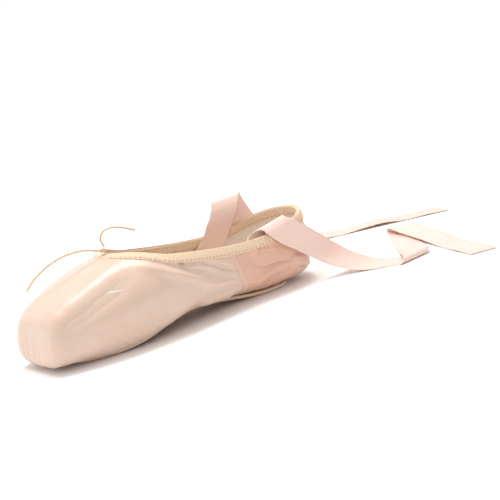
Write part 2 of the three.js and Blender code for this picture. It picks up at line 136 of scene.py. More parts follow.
# Routes of the ribbons, as x, y, z, and the turn and tilt of the line straight across, in degrees.
NEAR_RIBBON = [
    (44, -29.4, 28, 5, 2), (51, -28.6, 34, 5, 2), (58, -26.6, 40, 4, 3),
    (64.5, -25, 45.4, 4, 7), (68.5, -24.4, 49.3, 3, 8), (72.5, -27.7, 52, 3, 9),
    (76.5, -31.7, 49.2, 3, 9), (83, -33.2, 43.4, 2, 8), (92, -34.2, 36.2, 2, 5),
    (102, -35, 28.5, 2, 2), (112, -36.4, 20.8, 3, 1), (121, -39.8, 13.4, 3, 0),
    (130, -45, 7.5, 4, 0), (138.5, -51.5, 2.9, 4, 0), (148, -59, 0.9, 5, 0),
    (158, -67.4, 0.5, 5, 0), (164, -74, 0.5, 5, 0), (166.5, -75.7, 1.6, 5, 0),
    (168.7, -75.5, 3.8, 5, 0), (170.9, -73.4, 4.9, 5, 0), (177.3, -65.7, 4.2, 2, 0),
    (185, -56.5, 2.6, -5, 0), (194, -45.8, 1.2, -14, 0), (203, -35.1, 0.6, -22, 0),
    (216, -19.6, 1.4, -28, 0), (229, -4.2, 0.7, -30, 0), (238.4, 7, 0.5, -30, 0),
    (239.7, 8.4, 1.6, -30, 0), (240, 8.2, 3.8, -30, 0), (239.4, 6.4, 4.9, -30, 0),
    (236, -3, 4.6, -29, 0), (231.9, -14.3, 3.8, -27, 0), (226, -30.4, 3.4, -24, 0),
    (220, -47, 2.7, -21, 0), (214, -63.3, 1.6, -20, 0), (206.9, -82.9, 0.6, -20, 0),
    (200, -102, 1.3, -20, 0), (194.6, -119, 0.6, -20, 0),
]
FAR_RIBBON = [
    (48, 29.2, 28, -5, 2), (53, 28.4, 34, -5, 2), (58, 26.5, 40, -4, 3),
    (62.5, 24.9, 46.6, -4, 7), (66.5, 24, 52.8, -3, 8), (70.5, 24.3, 58.3, -3, 8),
    (74.5, 25.7, 64.3, -2, 7), (78.5, 28.9, 69, -1, 3), (83.3, 34, 68.8, 0, 2),
    (88, 37, 63.4, 0, 2), (94, 38.3, 53.8, 1, 1), (102, 38.7, 40.9, 2, 1),
    (111, 40.2, 29.5, 3, 0), (120, 43, 19.5, 4, 0), (129, 47.6, 11, 5, 0),
    (138, 54, 4.6, 6, 0), (147, 61.6, 1.3, 7, 0), (157, 70, 0.5, 8, 0),
    (165, 78.5, 0.5, 8, 0), (172, 84.5, 0.5, 8, 0), (175.3, 86.9, 1.6, 8, 0),
    (178.8, 87.4, 3.8, 8, 0), (182.6, 85.9, 4.9, 8, 0), (191.7, 81.7, 4.2, 11, 0),
    (202.5, 76.6, 2.6, 19, 0), (215, 70.7, 1.4, 31, 0), (228, 64.8, 0.7, 44, 0),
    (244, 57.4, 2.2, 55, 0), (260, 49.8, 2.8, 61, 0), (277, 41.6, 0.8, 63, 0),
    (296, 32.4, 1.2, 64, 0), (315, 23, 0.6, 64, 0),
]
# Routes of the drawstring's ends, as x, y, z.
STRING_LONG = [
    (-56.4, 0, 65.4), (-66, 1.4, 68.2), (-76, 3.2, 68.8), (-86, 5.6, 67),
    (-95, 8.6, 63), (-102.5, 11.6, 57.6), (-108, 14.4, 51.2),
]
STRING_SHORT = [
    (-51.6, 0, 66.8), (-53, 0.6, 72.4), (-50.4, 0.4, 76.8), (-44, -0.6, 78.4),
    (-35.5, -2, 76.4), (-27, -3.4, 72.4),
]
KNOT = {"x": -53, "z": 64.7, "radius": 1.5, "strand": 0.62}

# ---------------------------------------------------------------- camera

CAMERA_TARGET = (0.0709, 0.0, 0.0305)
CAMERA_AZIMUTH = math.radians(-37.3)
CAMERA_ELEVATION = math.radians(11.6)
CAMERA_ROLL = math.radians(-10.8)
CAMERA_DISTANCE = 0.825
CAMERA_WIDTH = 0.378  # seen at the target


def make_camera():
    """A camera at the toe on the near side, a little above the floor and rolled."""
    data = bpy.data.cameras.new("camera")
    camera = bpy.data.objects.new("camera", data)
    bpy.context.scene.collection.objects.link(camera)
    level = math.cos(CAMERA_ELEVATION)
    back = Vector((
        math.sin(CAMERA_AZIMUTH) * level,
        -math.cos(CAMERA_AZIMUTH) * level,
        math.sin(CAMERA_ELEVATION),
    ))
    camera.location = Vector(CAMERA_TARGET) + back * CAMERA_DISTANCE
    turn = back.to_track_quat("Z", "Y").to_matrix() @ Matrix.Rotation(CAMERA_ROLL, 3, "Z")
    camera.rotation_euler = turn.to_euler()
    data.angle = 2 * math.atan(CAMERA_WIDTH / 2 / CAMERA_DISTANCE)
    data.clip_start = 0.01
    bpy.context.scene.camera = camera


# ---------------------------------------------------------------- reading the tables


def column(table, name):
    """One column of a table."""
    return np.array([row[name] for row in table], float)


def read(table, name, at):
    """Smooth values of one column of a table at distances from the toe."""
    x = column(table, "at")
    v = column(table, name)
    at = np.clip(at, x[0], x[-1])
    i = np.clip(np.searchsorted(x, at) - 1, 0, len(x) - 2)
    before = np.maximum(np.arange(len(x)) - 1, 0)
    after = np.minimum(np.arange(len(x)) + 1, len(x) - 1)
    slope = (v[after] - v[before]) / (x[after] - x[before])
    span = x[i + 1] - x[i]
    t = (at - x[i]) / span
    turned = 3 * t**2 - 2 * t**3
    bends = slope[i] * t * (1 - t) ** 2 - slope[i + 1] * t**2 * (1 - t)
    return v[i] * (1 - turned) + v[i + 1] * turned + bends * span


def smooth_step(value, low, high):
    """0 below low, 1 above high, and a smooth rise between."""
    t = np.clip((value - low) / (high - low), 0, 1)
    return t * t * (3 - 2 * t)


def underside(at):
    """Height of the satin's underside, level at the outsole's front edge and at its heel."""
    along = np.clip((at - ARCH_FROM) / (ARCH_TO - ARCH_FROM), 0, 1)
    spring = TOE_SPRING * np.maximum(0, 1 - at / OUTSOLE_FRONT) ** 2
    return OUTSOLE_THICKNESS + GAP + ARCH_RISE * np.sin(np.pi * along) ** 2 + spring


def wall(at):
    """Thickness of the upper's wall, from the stiff box to the soft quarters."""
    soft = smooth_step(at, BOX_WALL_ENDS, QUARTER_WALL_STARTS)
    return BOX_WALL + (QUARTER_WALL - BOX_WALL) * soft


def tip_inset(at, radius):
    """How far a rounded edge of the platform has drawn in at distances from the toe."""
    tip = radius - np.clip(at, 0, radius)
    return radius - np.sqrt(radius**2 - tip**2)


def last_section(at):
    """The last's section at distances from the toe, with its two rounded ends."""
    made = {name: read(LAST, name, at) for name in ("half", "wide", "crown", "over", "under")}
    made["low"] = underside(at)
    made["half"] = made["half"] - tip_inset(at, TIP_SIDE)
    made["crown"] = made["crown"] - tip_inset(at, TIP_TOP)
    made["low"] = made["low"] + tip_inset(at, TIP_LOW)
    u = np.clip((at - HEEL_ROUND_FROM) / (LENGTH - HEEL_ROUND_FROM), 0, 1)

    def close(power):
        return np.maximum(1 - u**power, 1e-6) ** (1 / power)

    made["half"] = made["half"] * close(2.2)
    made["crown"] = HEEL_POLE + (made["crown"] - HEEL_POLE) * close(3.1)
    made["low"] = HEEL_POLE - (HEEL_POLE - made["low"]) * close(3.4)
    made["wide"] = np.where(u > 0, HEEL_POLE + (made["wide"] - HEEL_POLE) * close(2), made["wide"])
    return made


def inside_last(p):
    """Whether points lie inside the closed last."""
    at, y, z = p[..., 0], p[..., 1], p[..., 2]
    s = last_section(at)
    power = np.where(z > s["wide"], s["over"], s["under"])
    reach = np.where(z > s["wide"], s["crown"] - s["wide"], s["wide"] - s["low"])
    across = (np.abs(y) / s["half"]) ** power
    upwards = (np.abs(z - s["wide"]) / reach) ** power
    return (at >= 0) & (at <= LENGTH) & (across + upwards < 1)


def past_collar(p):
    """How far points lie past the collar or the throat, below zero on the satin's side."""
    at, y, z = p[..., 0], p[..., 1], p[..., 2]
    above = z - read(COLLAR, "height", at)
    behind = at - THROAT - y**2 / THROAT_SPREAD
    spread = np.exp(-np.abs(above - behind) / THROAT_BLEND)
    return np.minimum(above, behind) - THROAT_BLEND * np.log(1 + spread)


def foot_opening(at):
    """Half width of the opening under the foot, which the outsole covers."""
    front = OUTSOLE_FRONT + FEATHER
    back = OUTSOLE_BACK - FEATHER
    squeezed = OUTSOLE_FRONT + (at - front) * (OUTSOLE_BACK - OUTSOLE_FRONT) / (back - front)
    half = np.maximum(read(OUTSOLE, "half", squeezed) - FEATHER, 0.5)
    return np.where((at < front) | (at > back), 0, half)


def place(p):
    """Points of the last in the shoe's frame, with the platform leaning back."""
    fade = np.maximum(0, 1 - p[..., 0] / LEAN_FADES_AT) ** 2
    x = p[..., 0] - (LENGTH + TIP_BACK) / 2 + PLATFORM_LEAN * p[..., 2] * fade
    return np.stack([x, p[..., 1], p[..., 2]], -1)


# ---------------------------------------------------------------- the upper's surface

TOE_FAN_AT = 100
HEEL_FAN_AT = 196
FAN_HEIGHT = 24
HALVINGS = 22
OUTLINE_SAMPLES = 360
BEND_WEIGHT = 12


def upper_planes(toe, side, heel):
    """Upright planes round the shoe: rows of at, y, ahead, aside."""
    made = []
    for i in range(toe):
        t = -1 + 2 * i / toe
        turn = math.pi / 2 * (0.62 * t + 0.38 * t**3)
        made.append((TOE_FAN_AT, 0, -math.cos(turn), math.sin(turn)))
    for i in range(side):
        made.append((TOE_FAN_AT + (HEEL_FAN_AT - TOE_FAN_AT) * i / side, 0, 0, 1))
    for i in range(heel):
        turn = math.pi * i / heel
        made.append((HEEL_FAN_AT, 0, math.sin(turn), math.cos(turn)))
    for i in range(side):
        made.append((HEEL_FAN_AT - (HEEL_FAN_AT - TOE_FAN_AT) * i / side, 0, 0, -1))
    return np.array(made, float)


def furthest(holds, limit):
    """The furthest distances, by halving, at which a test still holds."""
    near = np.zeros_like(limit)
    far = limit.copy()
    for _ in range(HALVINGS):
        middle = (near + far) / 2
        good = holds(middle)
        near = np.where(good, middle, near)
        far = np.where(good, far, middle)
    return near


def outlines(planes):
    """The last's outline in each plane, from the foot opening up to the collar."""
    at, y, ahead, aside = (planes[:, k, None] for k in range(4))

    def on_ray(tilt, far):
        level = far * np.cos(tilt)
        rise = FAN_HEIGHT + far * np.sin(tilt)
        return np.stack(np.broadcast_arrays(at + ahead * level, y + aside * level, rise), -1)

    def reach(tilt):
        return furthest(lambda far: inside_last(on_ray(tilt, far)), np.full(tilt.shape, float(LENGTH)))

    def is_open(far):
        return np.abs(y + aside * far) < foot_opening(at + ahead * far)

    whole = np.full(at.shape, float(LENGTH))
    quarter_turn = np.full(at.shape, math.pi / 2)
    edge = furthest(is_open, whole)
    lowest = -furthest(lambda tilt: reach(-tilt) * np.cos(tilt) > edge, quarter_turn)
    highest = furthest(lambda tilt: past_collar(on_ray(tilt, reach(tilt))) < 0, quarter_turn)
    share = np.linspace(0, 1, OUTLINE_SAMPLES)[None, :]
    tilt = lowest + (highest - lowest) * share
    return on_ray(tilt, reach(tilt))


def spaced(points, start, stop, rows):
    """Each outline with rows points from start to stop, closer together where it bends.

    start and stop are lengths along the outline; a stop below zero counts back from the collar.
    """
    steps = np.diff(points, axis=1)
    length = np.linalg.norm(steps, axis=2)
    aim = steps / np.maximum(length, 1e-9)[..., None]
    bend = np.arccos(np.clip((aim[:, 1:] * aim[:, :-1]).sum(-1), -1, 1))
    weight = length.copy()
    weight[:, 1:] += BEND_WEIGHT * bend
    made = np.empty((len(points), rows, 3))
    lengths = np.empty((len(points), rows))
    tops = np.empty(len(points))
    for c in range(len(points)):
        run = np.concatenate([[0], np.cumsum(length[c])])
        weights = np.concatenate([[0], np.cumsum(weight[c])])
        end = run[-1] + stop if stop <= 0 else stop
        ends = np.interp([start, end], run, weights)
        wanted = np.linspace(ends[0], ends[1], rows)
        for axis in range(3):
            made[c, :, axis] = np.interp(wanted, weights, points[c, :, axis])
        lengths[c] = np.interp(wanted, weights, run)
        tops[c] = run[-1]
    return made, lengths, tops[:, None] - lengths


def spaced_band(points, width, rows):
    """Rows of the top of each outline, evenly spaced over a width below the collar."""
    steps = np.linalg.norm(np.diff(points, axis=1), axis=2)
    made = np.empty((len(points), rows, 3))
    depth = np.linspace(-width, -1.2, rows)
    for c in range(len(points)):
        run = np.concatenate([[0], np.cumsum(steps[c])])
        for axis in range(3):
            made[c, :, axis] = np.interp(run[-1] + depth, run, points[c, :, axis])
    return made


def grid_normals(grid, closed=True):
    """Outward normals of a grid whose columns go round the shoe and rows go up."""
    if closed:
        along = np.roll(grid, -1, 0) - np.roll(grid, 1, 0)
    else:
        along = np.gradient(grid, axis=0)
    up = np.gradient(grid, axis=1)
    normal = np.cross(up, along)
    return normal / np.maximum(np.linalg.norm(normal, axis=2), 1e-9)[..., None]


# ---------------------------------------------------------------- making meshes


def grid_faces(columns, rows, closed_columns, closed_rows):
    """Quads of a grid, numbered column by column."""
    c = np.arange(columns if closed_columns else columns - 1)
    r = np.arange(rows if closed_rows else rows - 1)
    c, r = np.meshgrid(c, r, indexing="ij")
    d = (c + 1) % columns
    e = (r + 1) % rows
    return np.stack([c * rows + r, c * rows + e, d * rows + e, d * rows + r], -1).reshape(-1, 4)


def tube_faces(rings, points):
    """Faces of a tube through rings of points, filled at both ends."""
    faces = grid_faces(rings, points, False, True).tolist()
    faces.append(list(range(points)))
    faces.append([(rings - 1) * points + k for k in range(points)][::-1])
    return faces


def mesh_object(name, vertices, faces, material):
    mesh = bpy.data.meshes.new(name)
    if isinstance(faces, np.ndarray):
        faces = faces.tolist()
    mesh.from_pydata((np.asarray(vertices).reshape(-1, 3) * MM).tolist(), [], faces)
    mesh.materials.append(material)
    mesh.polygons.foreach_set("use_smooth", [True] * len(mesh.polygons))
    mesh.validate()
    mesh.update()
    made = bpy.data.objects.new(name, mesh)
    bpy.context.scene.collection.objects.link(made)
    return made


def set_uv(made, per_vertex):
    """A UV map from one pair of millimetres per vertex."""
    mesh = made.data
    corner = np.empty(len(mesh.loops), int)
    mesh.loops.foreach_get("vertex_index", corner)
    layer = mesh.uv_layers.new(name="cloth")
    layer.data.foreach_set("uv", np.asarray(per_vertex, float).reshape(-1, 2)[corner].ravel())


def ring_band(name, outer, inner, material):
    """A closed band from an outer grid and an inner grid with the same columns."""
    section = np.concatenate([outer, inner[:, ::-1]], axis=1)
    faces = grid_faces(section.shape[0], section.shape[1], True, True)
    return mesh_object(name, place(section), faces, material)


# ---------------------------------------------------------------- creases


def ripple(x, pitch, seed):
    """A smooth irregular wave of about the given pitch, from -1 to 1."""
    random = np.random.default_rng(seed)
    total = np.zeros_like(x)
    for share in (0.62, 0.83, 1.0, 1.31, 1.7):
        total = total + np.sin(2 * math.pi * x / (pitch * share) + random.uniform(0, 2 * math.pi))
    return total / 3


def fold(x):
    """Round folds with a sharp valley between them, one for each unit of x, from 0 to 1."""
    return np.abs(np.sin(math.pi * x)) ** 0.7


# Creases of the satin in side view, drawn from one point to another on one side of the shoe.
# side: -1 near, 1 far, 0 both. Rows give where the crease runs, its half width and its height.
CREASES = [
    # the shoulder of the box, between its top and its side, down to the platform's corner
    {"side": 0, "at": -4, "z": 24, "to_at": 70, "to_z": 51, "width": 5, "height": -0.75},
    {"side": 0, "at": 4, "z": 36, "to_at": 66, "to_z": 58, "width": 5, "height": 0.5},
    {"side": -1, "at": 20, "z": 22, "to_at": 88, "to_z": 36, "width": 8.5, "height": 0.2},
    {"side": 1, "at": 24, "z": 21, "to_at": 84, "to_z": 37, "width": 6, "height": 0.45},
    {"side": -1, "at": 34, "z": 12, "to_at": 92, "to_z": 20, "width": 5, "height": -0.4},
    # the wings of the box under the satin, from beside the throat down to the waist
    {"side": 0, "at": 74, "z": 53, "to_at": 104, "to_z": 38, "width": 3, "height": 0.8},
    {"side": 0, "at": 96, "z": 43, "to_at": 126, "to_z": 26, "width": 3, "height": 0.7},
    {"side": 0, "at": 96, "z": 50, "to_at": 132, "to_z": 31, "width": 5, "height": -0.7},
    # satin drawn from the wing towards the side seam
    {"side": 0, "at": 104, "z": 45, "to_at": 138, "to_z": 35, "width": 2.2, "height": 0.5},
    {"side": -1, "at": 122, "z": 43, "to_at": 148, "to_z": 30, "width": 2, "height": -0.75},
    {"side": 1, "at": 118, "z": 42, "to_at": 147, "to_z": 27, "width": 2.2, "height": -0.5},
    {"side": -1, "at": 118, "z": 27, "to_at": 150, "to_z": 21, "width": 2.4, "height": 0.6},
    {"side": 1, "at": 114, "z": 27, "to_at": 148, "to_z": 19, "width": 2.4, "height": 0.4},
    # the tuck over the arch
    {"side": 0, "at": 114, "z": 15, "to_at": 152, "to_z": 10, "width": 2.8, "height": 1.15},
    {"side": 0, "at": 118, "z": 19.5, "to_at": 154, "to_z": 15.5, "width": 2, "height": -0.85},
    {"side": 0, "at": 90, "z": 10, "to_at": 128, "to_z": 19, "width": 3, "height": -0.4},
    # soft quarters behind the side seam
    {"side": 0, "at": 164, "z": 33, "to_at": 208, "to_z": 26, "width": 7, "height": -1.2},
    {"side": -1, "at": 163, "z": 12, "to_at": 196, "to_z": 22, "width": 3, "height": 0.7},
    {"side": 1, "at": 163, "z": 14, "to_at": 192, "to_z": 25, "width": 3, "height": 0.7},
    {"side": -1, "at": 166, "z": 38, "to_at": 198, "to_z": 31, "width": 2.4, "height": 0.6},
    {"side": 1, "at": 168, "z": 36, "to_at": 202, "to_z": 33, "width": 2.4, "height": 0.6},
    {"side": -1, "at": 174, "z": 9, "to_at": 206, "to_z": 15, "width": 2.2, "height": -0.6},
    {"side": 1, "at": 178, "z": 10, "to_at": 208, "to_z": 17, "width": 2.2, "height": -0.6},
    # heel
    {"side": -1, "at": 200, "z": 38, "to_at": 232, "to_z": 27, "width": 2.3, "height": 0.8},
    {"side": 1, "at": 202, "z": 36, "to_at": 233, "to_z": 30, "width": 2.3, "height": 0.8},
    {"side": -1, "at": 204, "z": 27, "to_at": 234, "to_z": 18, "width": 2, "height": -0.7},
    {"side": 1, "at": 203, "z": 25, "to_at": 234, "to_z": 20, "width": 2, "height": -0.7},
    {"side": 0, "at": 208, "z": 17, "to_at": 232, "to_z": 11, "width": 2.2, "height": 0.8},
    {"side": 0, "at": 212, "z": 42, "to_at": 236, "to_z": 38, "width": 2.4, "height": 0.7},
]
CREASE_DEPTH = 2.3
SEAM = {"top_at": 149, "top_z": 42, "low_at": 160, "low_z": 6, "half": 2.8, "groove": 0.45}
STRIP_HALF = 8
PLEAT_PITCH = 5.2
PLEAT_HEIGHT = 1.5
PLEAT_LENGTH = 17
HANG = 2.4  # of the satin over the outsole's edge, at the forefoot
GATHER = 0.75  # under the binding
TUCK = 0.8  # above the outsole at the waist and heel


def crease_heights(at, y, z):
    """Height of all the creases together, at points of the last."""
    height = np.zeros_like(at)
    for row in CREASES:
        run = np.array([row["to_at"] - row["at"], row["to_z"] - row["z"]], float)
        size = np.hypot(*run)
        along = ((at - row["at"]) * run[0] + (z - row["z"]) * run[1]) / size**2
        t = np.clip(along, 0, 1)
        miss = np.hypot(at - row["at"] - t * run[0], z - row["z"] - t * run[1])
        taper = smooth_step(along, -0.15, 0.3) * (1 - smooth_step(along, 0.65, 1.15))
        on_side = 1 if row["side"] == 0 else smooth_step(row["side"] * y, -4, 4)
        across = np.exp(-((miss / row["width"]) ** 2))
        height = height + CREASE_DEPTH * row["height"] * across * taper * on_side
    return height


def seam_offset(at, z):
    """Distance from the side seam, negative towards the toe."""
    t = (z - SEAM["low_z"]) / (SEAM["top_z"] - SEAM["low_z"])
    return at - (SEAM["low_at"] + (SEAM["top_at"] - SEAM["low_at"]) * t)


def satin_heights(points, run, from_low, to_top):
    """How far the satin stands off the last, from its pleats, puckers, creases and seams."""
    at, y, z = points[..., 0], points[..., 1], points[..., 2]
    off_strip = smooth_step(np.abs(y), STRIP_HALF - 1, STRIP_HALF + 5)
    at_heel = smooth_step(at, 214, 226)
    free = 1 - at_heel * (1 - off_strip)
    height = crease_heights(at, y, z) * free

    # The satin hangs full over the outsole's edge, round the forefoot.
    hangs = smooth_step(from_low, 5.5, 10) * (1 - smooth_step(from_low, 12, 25))
    height = height + HANG * hangs * (1 - smooth_step(at, 95, 135)) * smooth_step(at, 12, 30)

    # Pleats gathered at the outsole's front edge, fanning out to the platform.
    phase = run / PLEAT_PITCH + 0.35 * ripple(run, 17, 3)
    front = 1 - smooth_step(np.abs(run), 24, 46)
    reach = (PLEAT_LENGTH + 15 * front) * (1 + 0.25 * ripple(run, 9, 5))
    fading = np.exp(-((from_low / reach) ** 2)) * (1 - smooth_step(np.abs(run), 52, 92))
    height = height + PLEAT_HEIGHT * (fold(phase) - 0.5) * fading

    # Gathers under the binding, fine at the throat and deep round the heel.
    gathered = 0.15 + 0.85 * smooth_step(at, 140, 215)
    deep = ripple(run, 8.5, 11) * np.exp(-to_top / 8) + ripple(run, 13, 13) * np.exp(-to_top / 17)
    height = height + GATHER * gathered * deep * free

    # Gathers above the outsole, round the waist and the heel.
    tucked = smooth_step(at, 120, 190) * np.exp(-np.abs(from_low - 8) / 9)
    height = height + TUCK * tucked * ripple(run, 7.5, 17) * free

    # Slack all over the soft quarters, and a little over the hard box.
    slack = 0.16 + 0.5 * smooth_step(at, 118, 170)
    slanted = ripple(at * 0.55 + z * 1.1, 21, 41) * ripple(at - 0.4 * z + 30 * np.sign(y), 47, 43)
    height = height + slack * slanted * free

    # The side seam, a flat band with a stitch row sunk in each edge.
    seam = np.abs(seam_offset(at, z))
    band = 1 - smooth_step(seam, SEAM["half"], SEAM["half"] + 1.5)
    height = height * (1 - 0.6 * band) + 0.25 * band
    return height - SEAM["groove"] * np.exp(-(((seam - SEAM["half"]) / 0.8) ** 2))


# ---------------------------------------------------------------- upper, lining and binding


def run_round(grid):
    """Length round the shoe at the feather edge, from the middle of the toe."""
    edge = grid[:, 0]
    steps = np.linalg.norm(np.roll(edge, -1, 0) - edge, axis=1)
    run = np.concatenate([[0], np.cumsum(steps)[:-1]])
    middle = np.argmin(edge[:, 0] + np.abs(edge[:, 1]))
    whole = steps.sum()
    return (run - run[middle] + whole / 2) % whole - whole / 2


# Planes round the toe, along each side and round the heel.
SATIN_PLANES = (330, 90, 150)
SATIN_ROWS = 132
LINING_PLANES = (150, 40, 70)
LINING_ROWS = 60
BINDING_PLANES = (380, 150, 260)


def make_upper(satin, canvas):
    """The creased satin shell with its backing, and the canvas lining inside it."""
    points = outlines(upper_planes(*SATIN_PLANES))
    outer, from_low, to_top = spaced(points, 0, -BINDING_WIDTH + BINDING_LAP, SATIN_ROWS)
    round_run = run_round(outer)[:, None]
    run = np.broadcast_to(round_run, from_low.shape)
    normals = grid_normals(outer)
    heights = satin_heights(outer, run, from_low, to_top)
    creased = outer + normals * heights[..., None]
    creased[..., 2] = np.maximum(creased[..., 2], FLOOR_CLEARANCE)
    rows = np.linspace(0, outer.shape[1] - 1, 10).astype(int)
    back = outer[:, rows] - normals[:, rows] * SATIN_THICKNESS
    shell = ring_band("upper_satin", creased, back, satin)
    girth = np.concatenate([from_low, from_low[:, rows][:, ::-1]], axis=1)
    set_uv(shell, np.stack([np.broadcast_to(round_run, girth.shape), girth], -1))
    whole = np.concatenate([outer, outer[:, rows][:, ::-1]], axis=1)
    seam = seam_offset(whole[..., 0], whole[..., 2])
    half = SEAM["half"]
    # painted shade: 1 behind the side seam, a step at each edge of its band, fading towards the heel
    behind = 0.6 * smooth_step(seam, -half - 0.5, -half + 0.5) + 0.4 * smooth_step(seam, half - 1, half + 1)
    behind = behind * (1 - 0.65 * smooth_step(whole[..., 0], 196, 226))
    quarter = shell.data.attributes.new("quarter", "FLOAT", "POINT")
    quarter.data.foreach_set("value", behind.ravel())

    points = outlines(upper_planes(*LINING_PLANES))
    outer, from_low, _ = spaced(points, 0, -2.5, LINING_ROWS)
    normals = grid_normals(outer)
    deep = wall(outer[..., 0]) - 0.05
    soft = 0.35 * ripple(outer[..., 0] + 0.6 * outer[..., 2], 16, 23)
    deep = deep + soft * smooth_step(outer[..., 0], 95, 130) * 0.6
    front = outer[:, ::8] - normals[:, ::8] * (SATIN_THICKNESS + LINING_MARGIN)
    inner = outer - normals * deep[..., None]
    lining = ring_band("upper_lining", front, inner, canvas)
    girth = np.concatenate([from_low[:, ::8], from_low[:, ::-1]], axis=1)
    round_run = np.broadcast_to(run_round(outer)[:, None], girth.shape)
    set_uv(lining, np.stack([round_run, girth], -1))
    return shell, lining


def make_heel_strip(satin):
    """The folded satin strip that covers the back seam, with its stitch rows' places."""
    offsets = [-8, -7.7, -7, -6.4, -5, -3.2, -2.4, -1, 1, 2.4, 3.2, 5, 6.4, 7, 7.7, 8]
    planes = np.array([(HEEL_FAN_AT, -y, 1, 0) for y in offsets], float)
    strip, from_low, _ = spaced(outlines(planes), 1, -BINDING_WIDTH + 2.5, 90)
    normals = grid_normals(strip, closed=False)
    off_edge = np.clip((STRIP_HALF - np.abs(np.array(offsets, float))) / 0.6, 0, 1) ** 0.5
    worn = 0.12 * ripple(from_low, 11, 51) + 0.08 * ripple(from_low, 4, 53)
    proud = 0.35 + (0.6 + worn) * off_edge[:, None]
    outer = strip + normals * proud[..., None]
    inner = strip + normals * 0.1
    columns, rows = strip.shape[:2]
    vertices = np.concatenate([place(outer).reshape(-1, 3), place(inner).reshape(-1, 3)])
    front = grid_faces(columns, rows, False, False)
    faces = front.tolist() + (front[:, ::-1] + columns * rows).tolist()
    rim = [c * rows for c in range(columns)]
    rim += [(columns - 1) * rows + r for r in range(1, rows)]
    rim += [c * rows + rows - 1 for c in range(columns - 2, -1, -1)]
    rim += [r for r in range(rows - 2, 0, -1)]
    for a, b in zip(rim, rim[1:] + rim[:1]):
        faces.append([a, b, b + columns * rows, a + columns * rows])
    made = mesh_object("heel_strip", vertices, faces, satin)
    across = np.broadcast_to(np.array(offsets, float)[:, None], from_low.shape)
    set_uv(made, np.concatenate([np.stack([across, from_low], -1).reshape(-1, 2)] * 2))
    rows_at = [offsets.index(y) for y in (-6.4, -2.4, 2.4, 6.4)]
    seams = [(False, place(outer[c, 2:-2]), normals[c, 2:-2]) for c in rows_at]
    return made, seams


def make_binding(cotton):
    """The gathered cotton casing round the collar, folded over the edge."""
    points = outlines(upper_planes(*BINDING_PLANES))
    strip = spaced_band(points, BINDING_WIDTH, 13)
    normals = grid_normals(strip)
    at = strip[..., 0]
    edge = strip[:, -1]
    steps = np.linalg.norm(np.roll(edge, -1, 0) - edge, axis=1)
    run = np.concatenate([[0], np.cumsum(steps)[:-1]])[:, None]
    gathered = 0.45 + 0.55 * smooth_step(at, 120, 205)
    share = np.linspace(0, 1, strip.shape[1])[None, :]
    pucker = ripple(run, 4.6, 31) * np.sin(math.pi * np.clip(share * 0.9 + 0.08, 0, 1))
    swell = 0.55 + 0.35 * np.sin(math.pi * share**0.8) + 0.4 * pucker * gathered
    outer = strip + normals * swell[..., None]
    back = wall(at) + 0.5 + 0.25 * np.sin(math.pi * share) + 0.25 * gathered * ripple(run, 5.2, 37)
    inner = strip - normals * back[..., None]
    # the fold over the top, half round
    a = outer[:, -1]
    b = inner[:, -1]
    centre = (a + b) / 2
    up = np.cross(np.roll(edge, -1, 0) - np.roll(edge, 1, 0), b - a)
    up = up / np.linalg.norm(up, axis=1)[:, None]
    lift = np.linalg.norm(a - b, axis=1)[:, None] / 2 * 0.85
    turns = np.linspace(0, math.pi, 9)[1:-1]
    cap = [centre + (a - centre) * math.cos(t) + up * lift * math.sin(t) for t in turns]
    section = np.concatenate([outer, np.stack(cap, 1), inner[:, ::-1]], axis=1)
    faces = grid_faces(section.shape[0], section.shape[1], True, True)
    made = mesh_object("collar_casing", place(section), faces, cotton)
    girth = np.broadcast_to(np.arange(section.shape[1])[None, :] * 0.7, section.shape[:2])
    set_uv(made, np.stack([np.broadcast_to(run, section.shape[:2]), girth], -1))
    rows_at = [(True, place(outer[:, 2]), normals[:, 2]), (True, place(inner[:, 2]), -normals[:, 2])]
    return made, rows_at


# ---------------------------------------------------------------- ribbons and drawstring


def spline(rows, steps_each):
    """Rows along a centripetal curve through the rows of a route."""
    p = np.array(rows, float)
    xyz = p[:, :3]
    knots = np.concatenate([[0], np.cumsum(np.linalg.norm(np.diff(xyz, axis=0), axis=1) ** 0.5)])
    slope = np.empty_like(p)
    slope[1:-1] = (
        (p[1:-1] - p[:-2]) / (knots[1:-1] - knots[:-2])[:, None]
        - (p[2:] - p[:-2]) / (knots[2:] - knots[:-2])[:, None]
        + (p[2:] - p[1:-1]) / (knots[2:] - knots[1:-1])[:, None]
    )
    slope[0] = (p[1] - p[0]) / (knots[1] - knots[0])
    slope[-1] = (p[-1] - p[-2]) / (knots[-1] - knots[-2])
    made = []
    for i in range(len(p) - 1):
        h = knots[i + 1] - knots[i]
        last = i == len(p) - 2
        for t in np.linspace(0, 1, steps_each + 1)[: None if last else -1]:
            made.append(
                (2 * t**3 - 3 * t**2 + 1) * p[i]
                + (t**3 - 2 * t**2 + t) * h * slope[i]
                + (3 * t**2 - 2 * t**3) * p[i + 1]
                + (t**3 - t**2) * h * slope[i + 1]
            )
    return np.array(made)


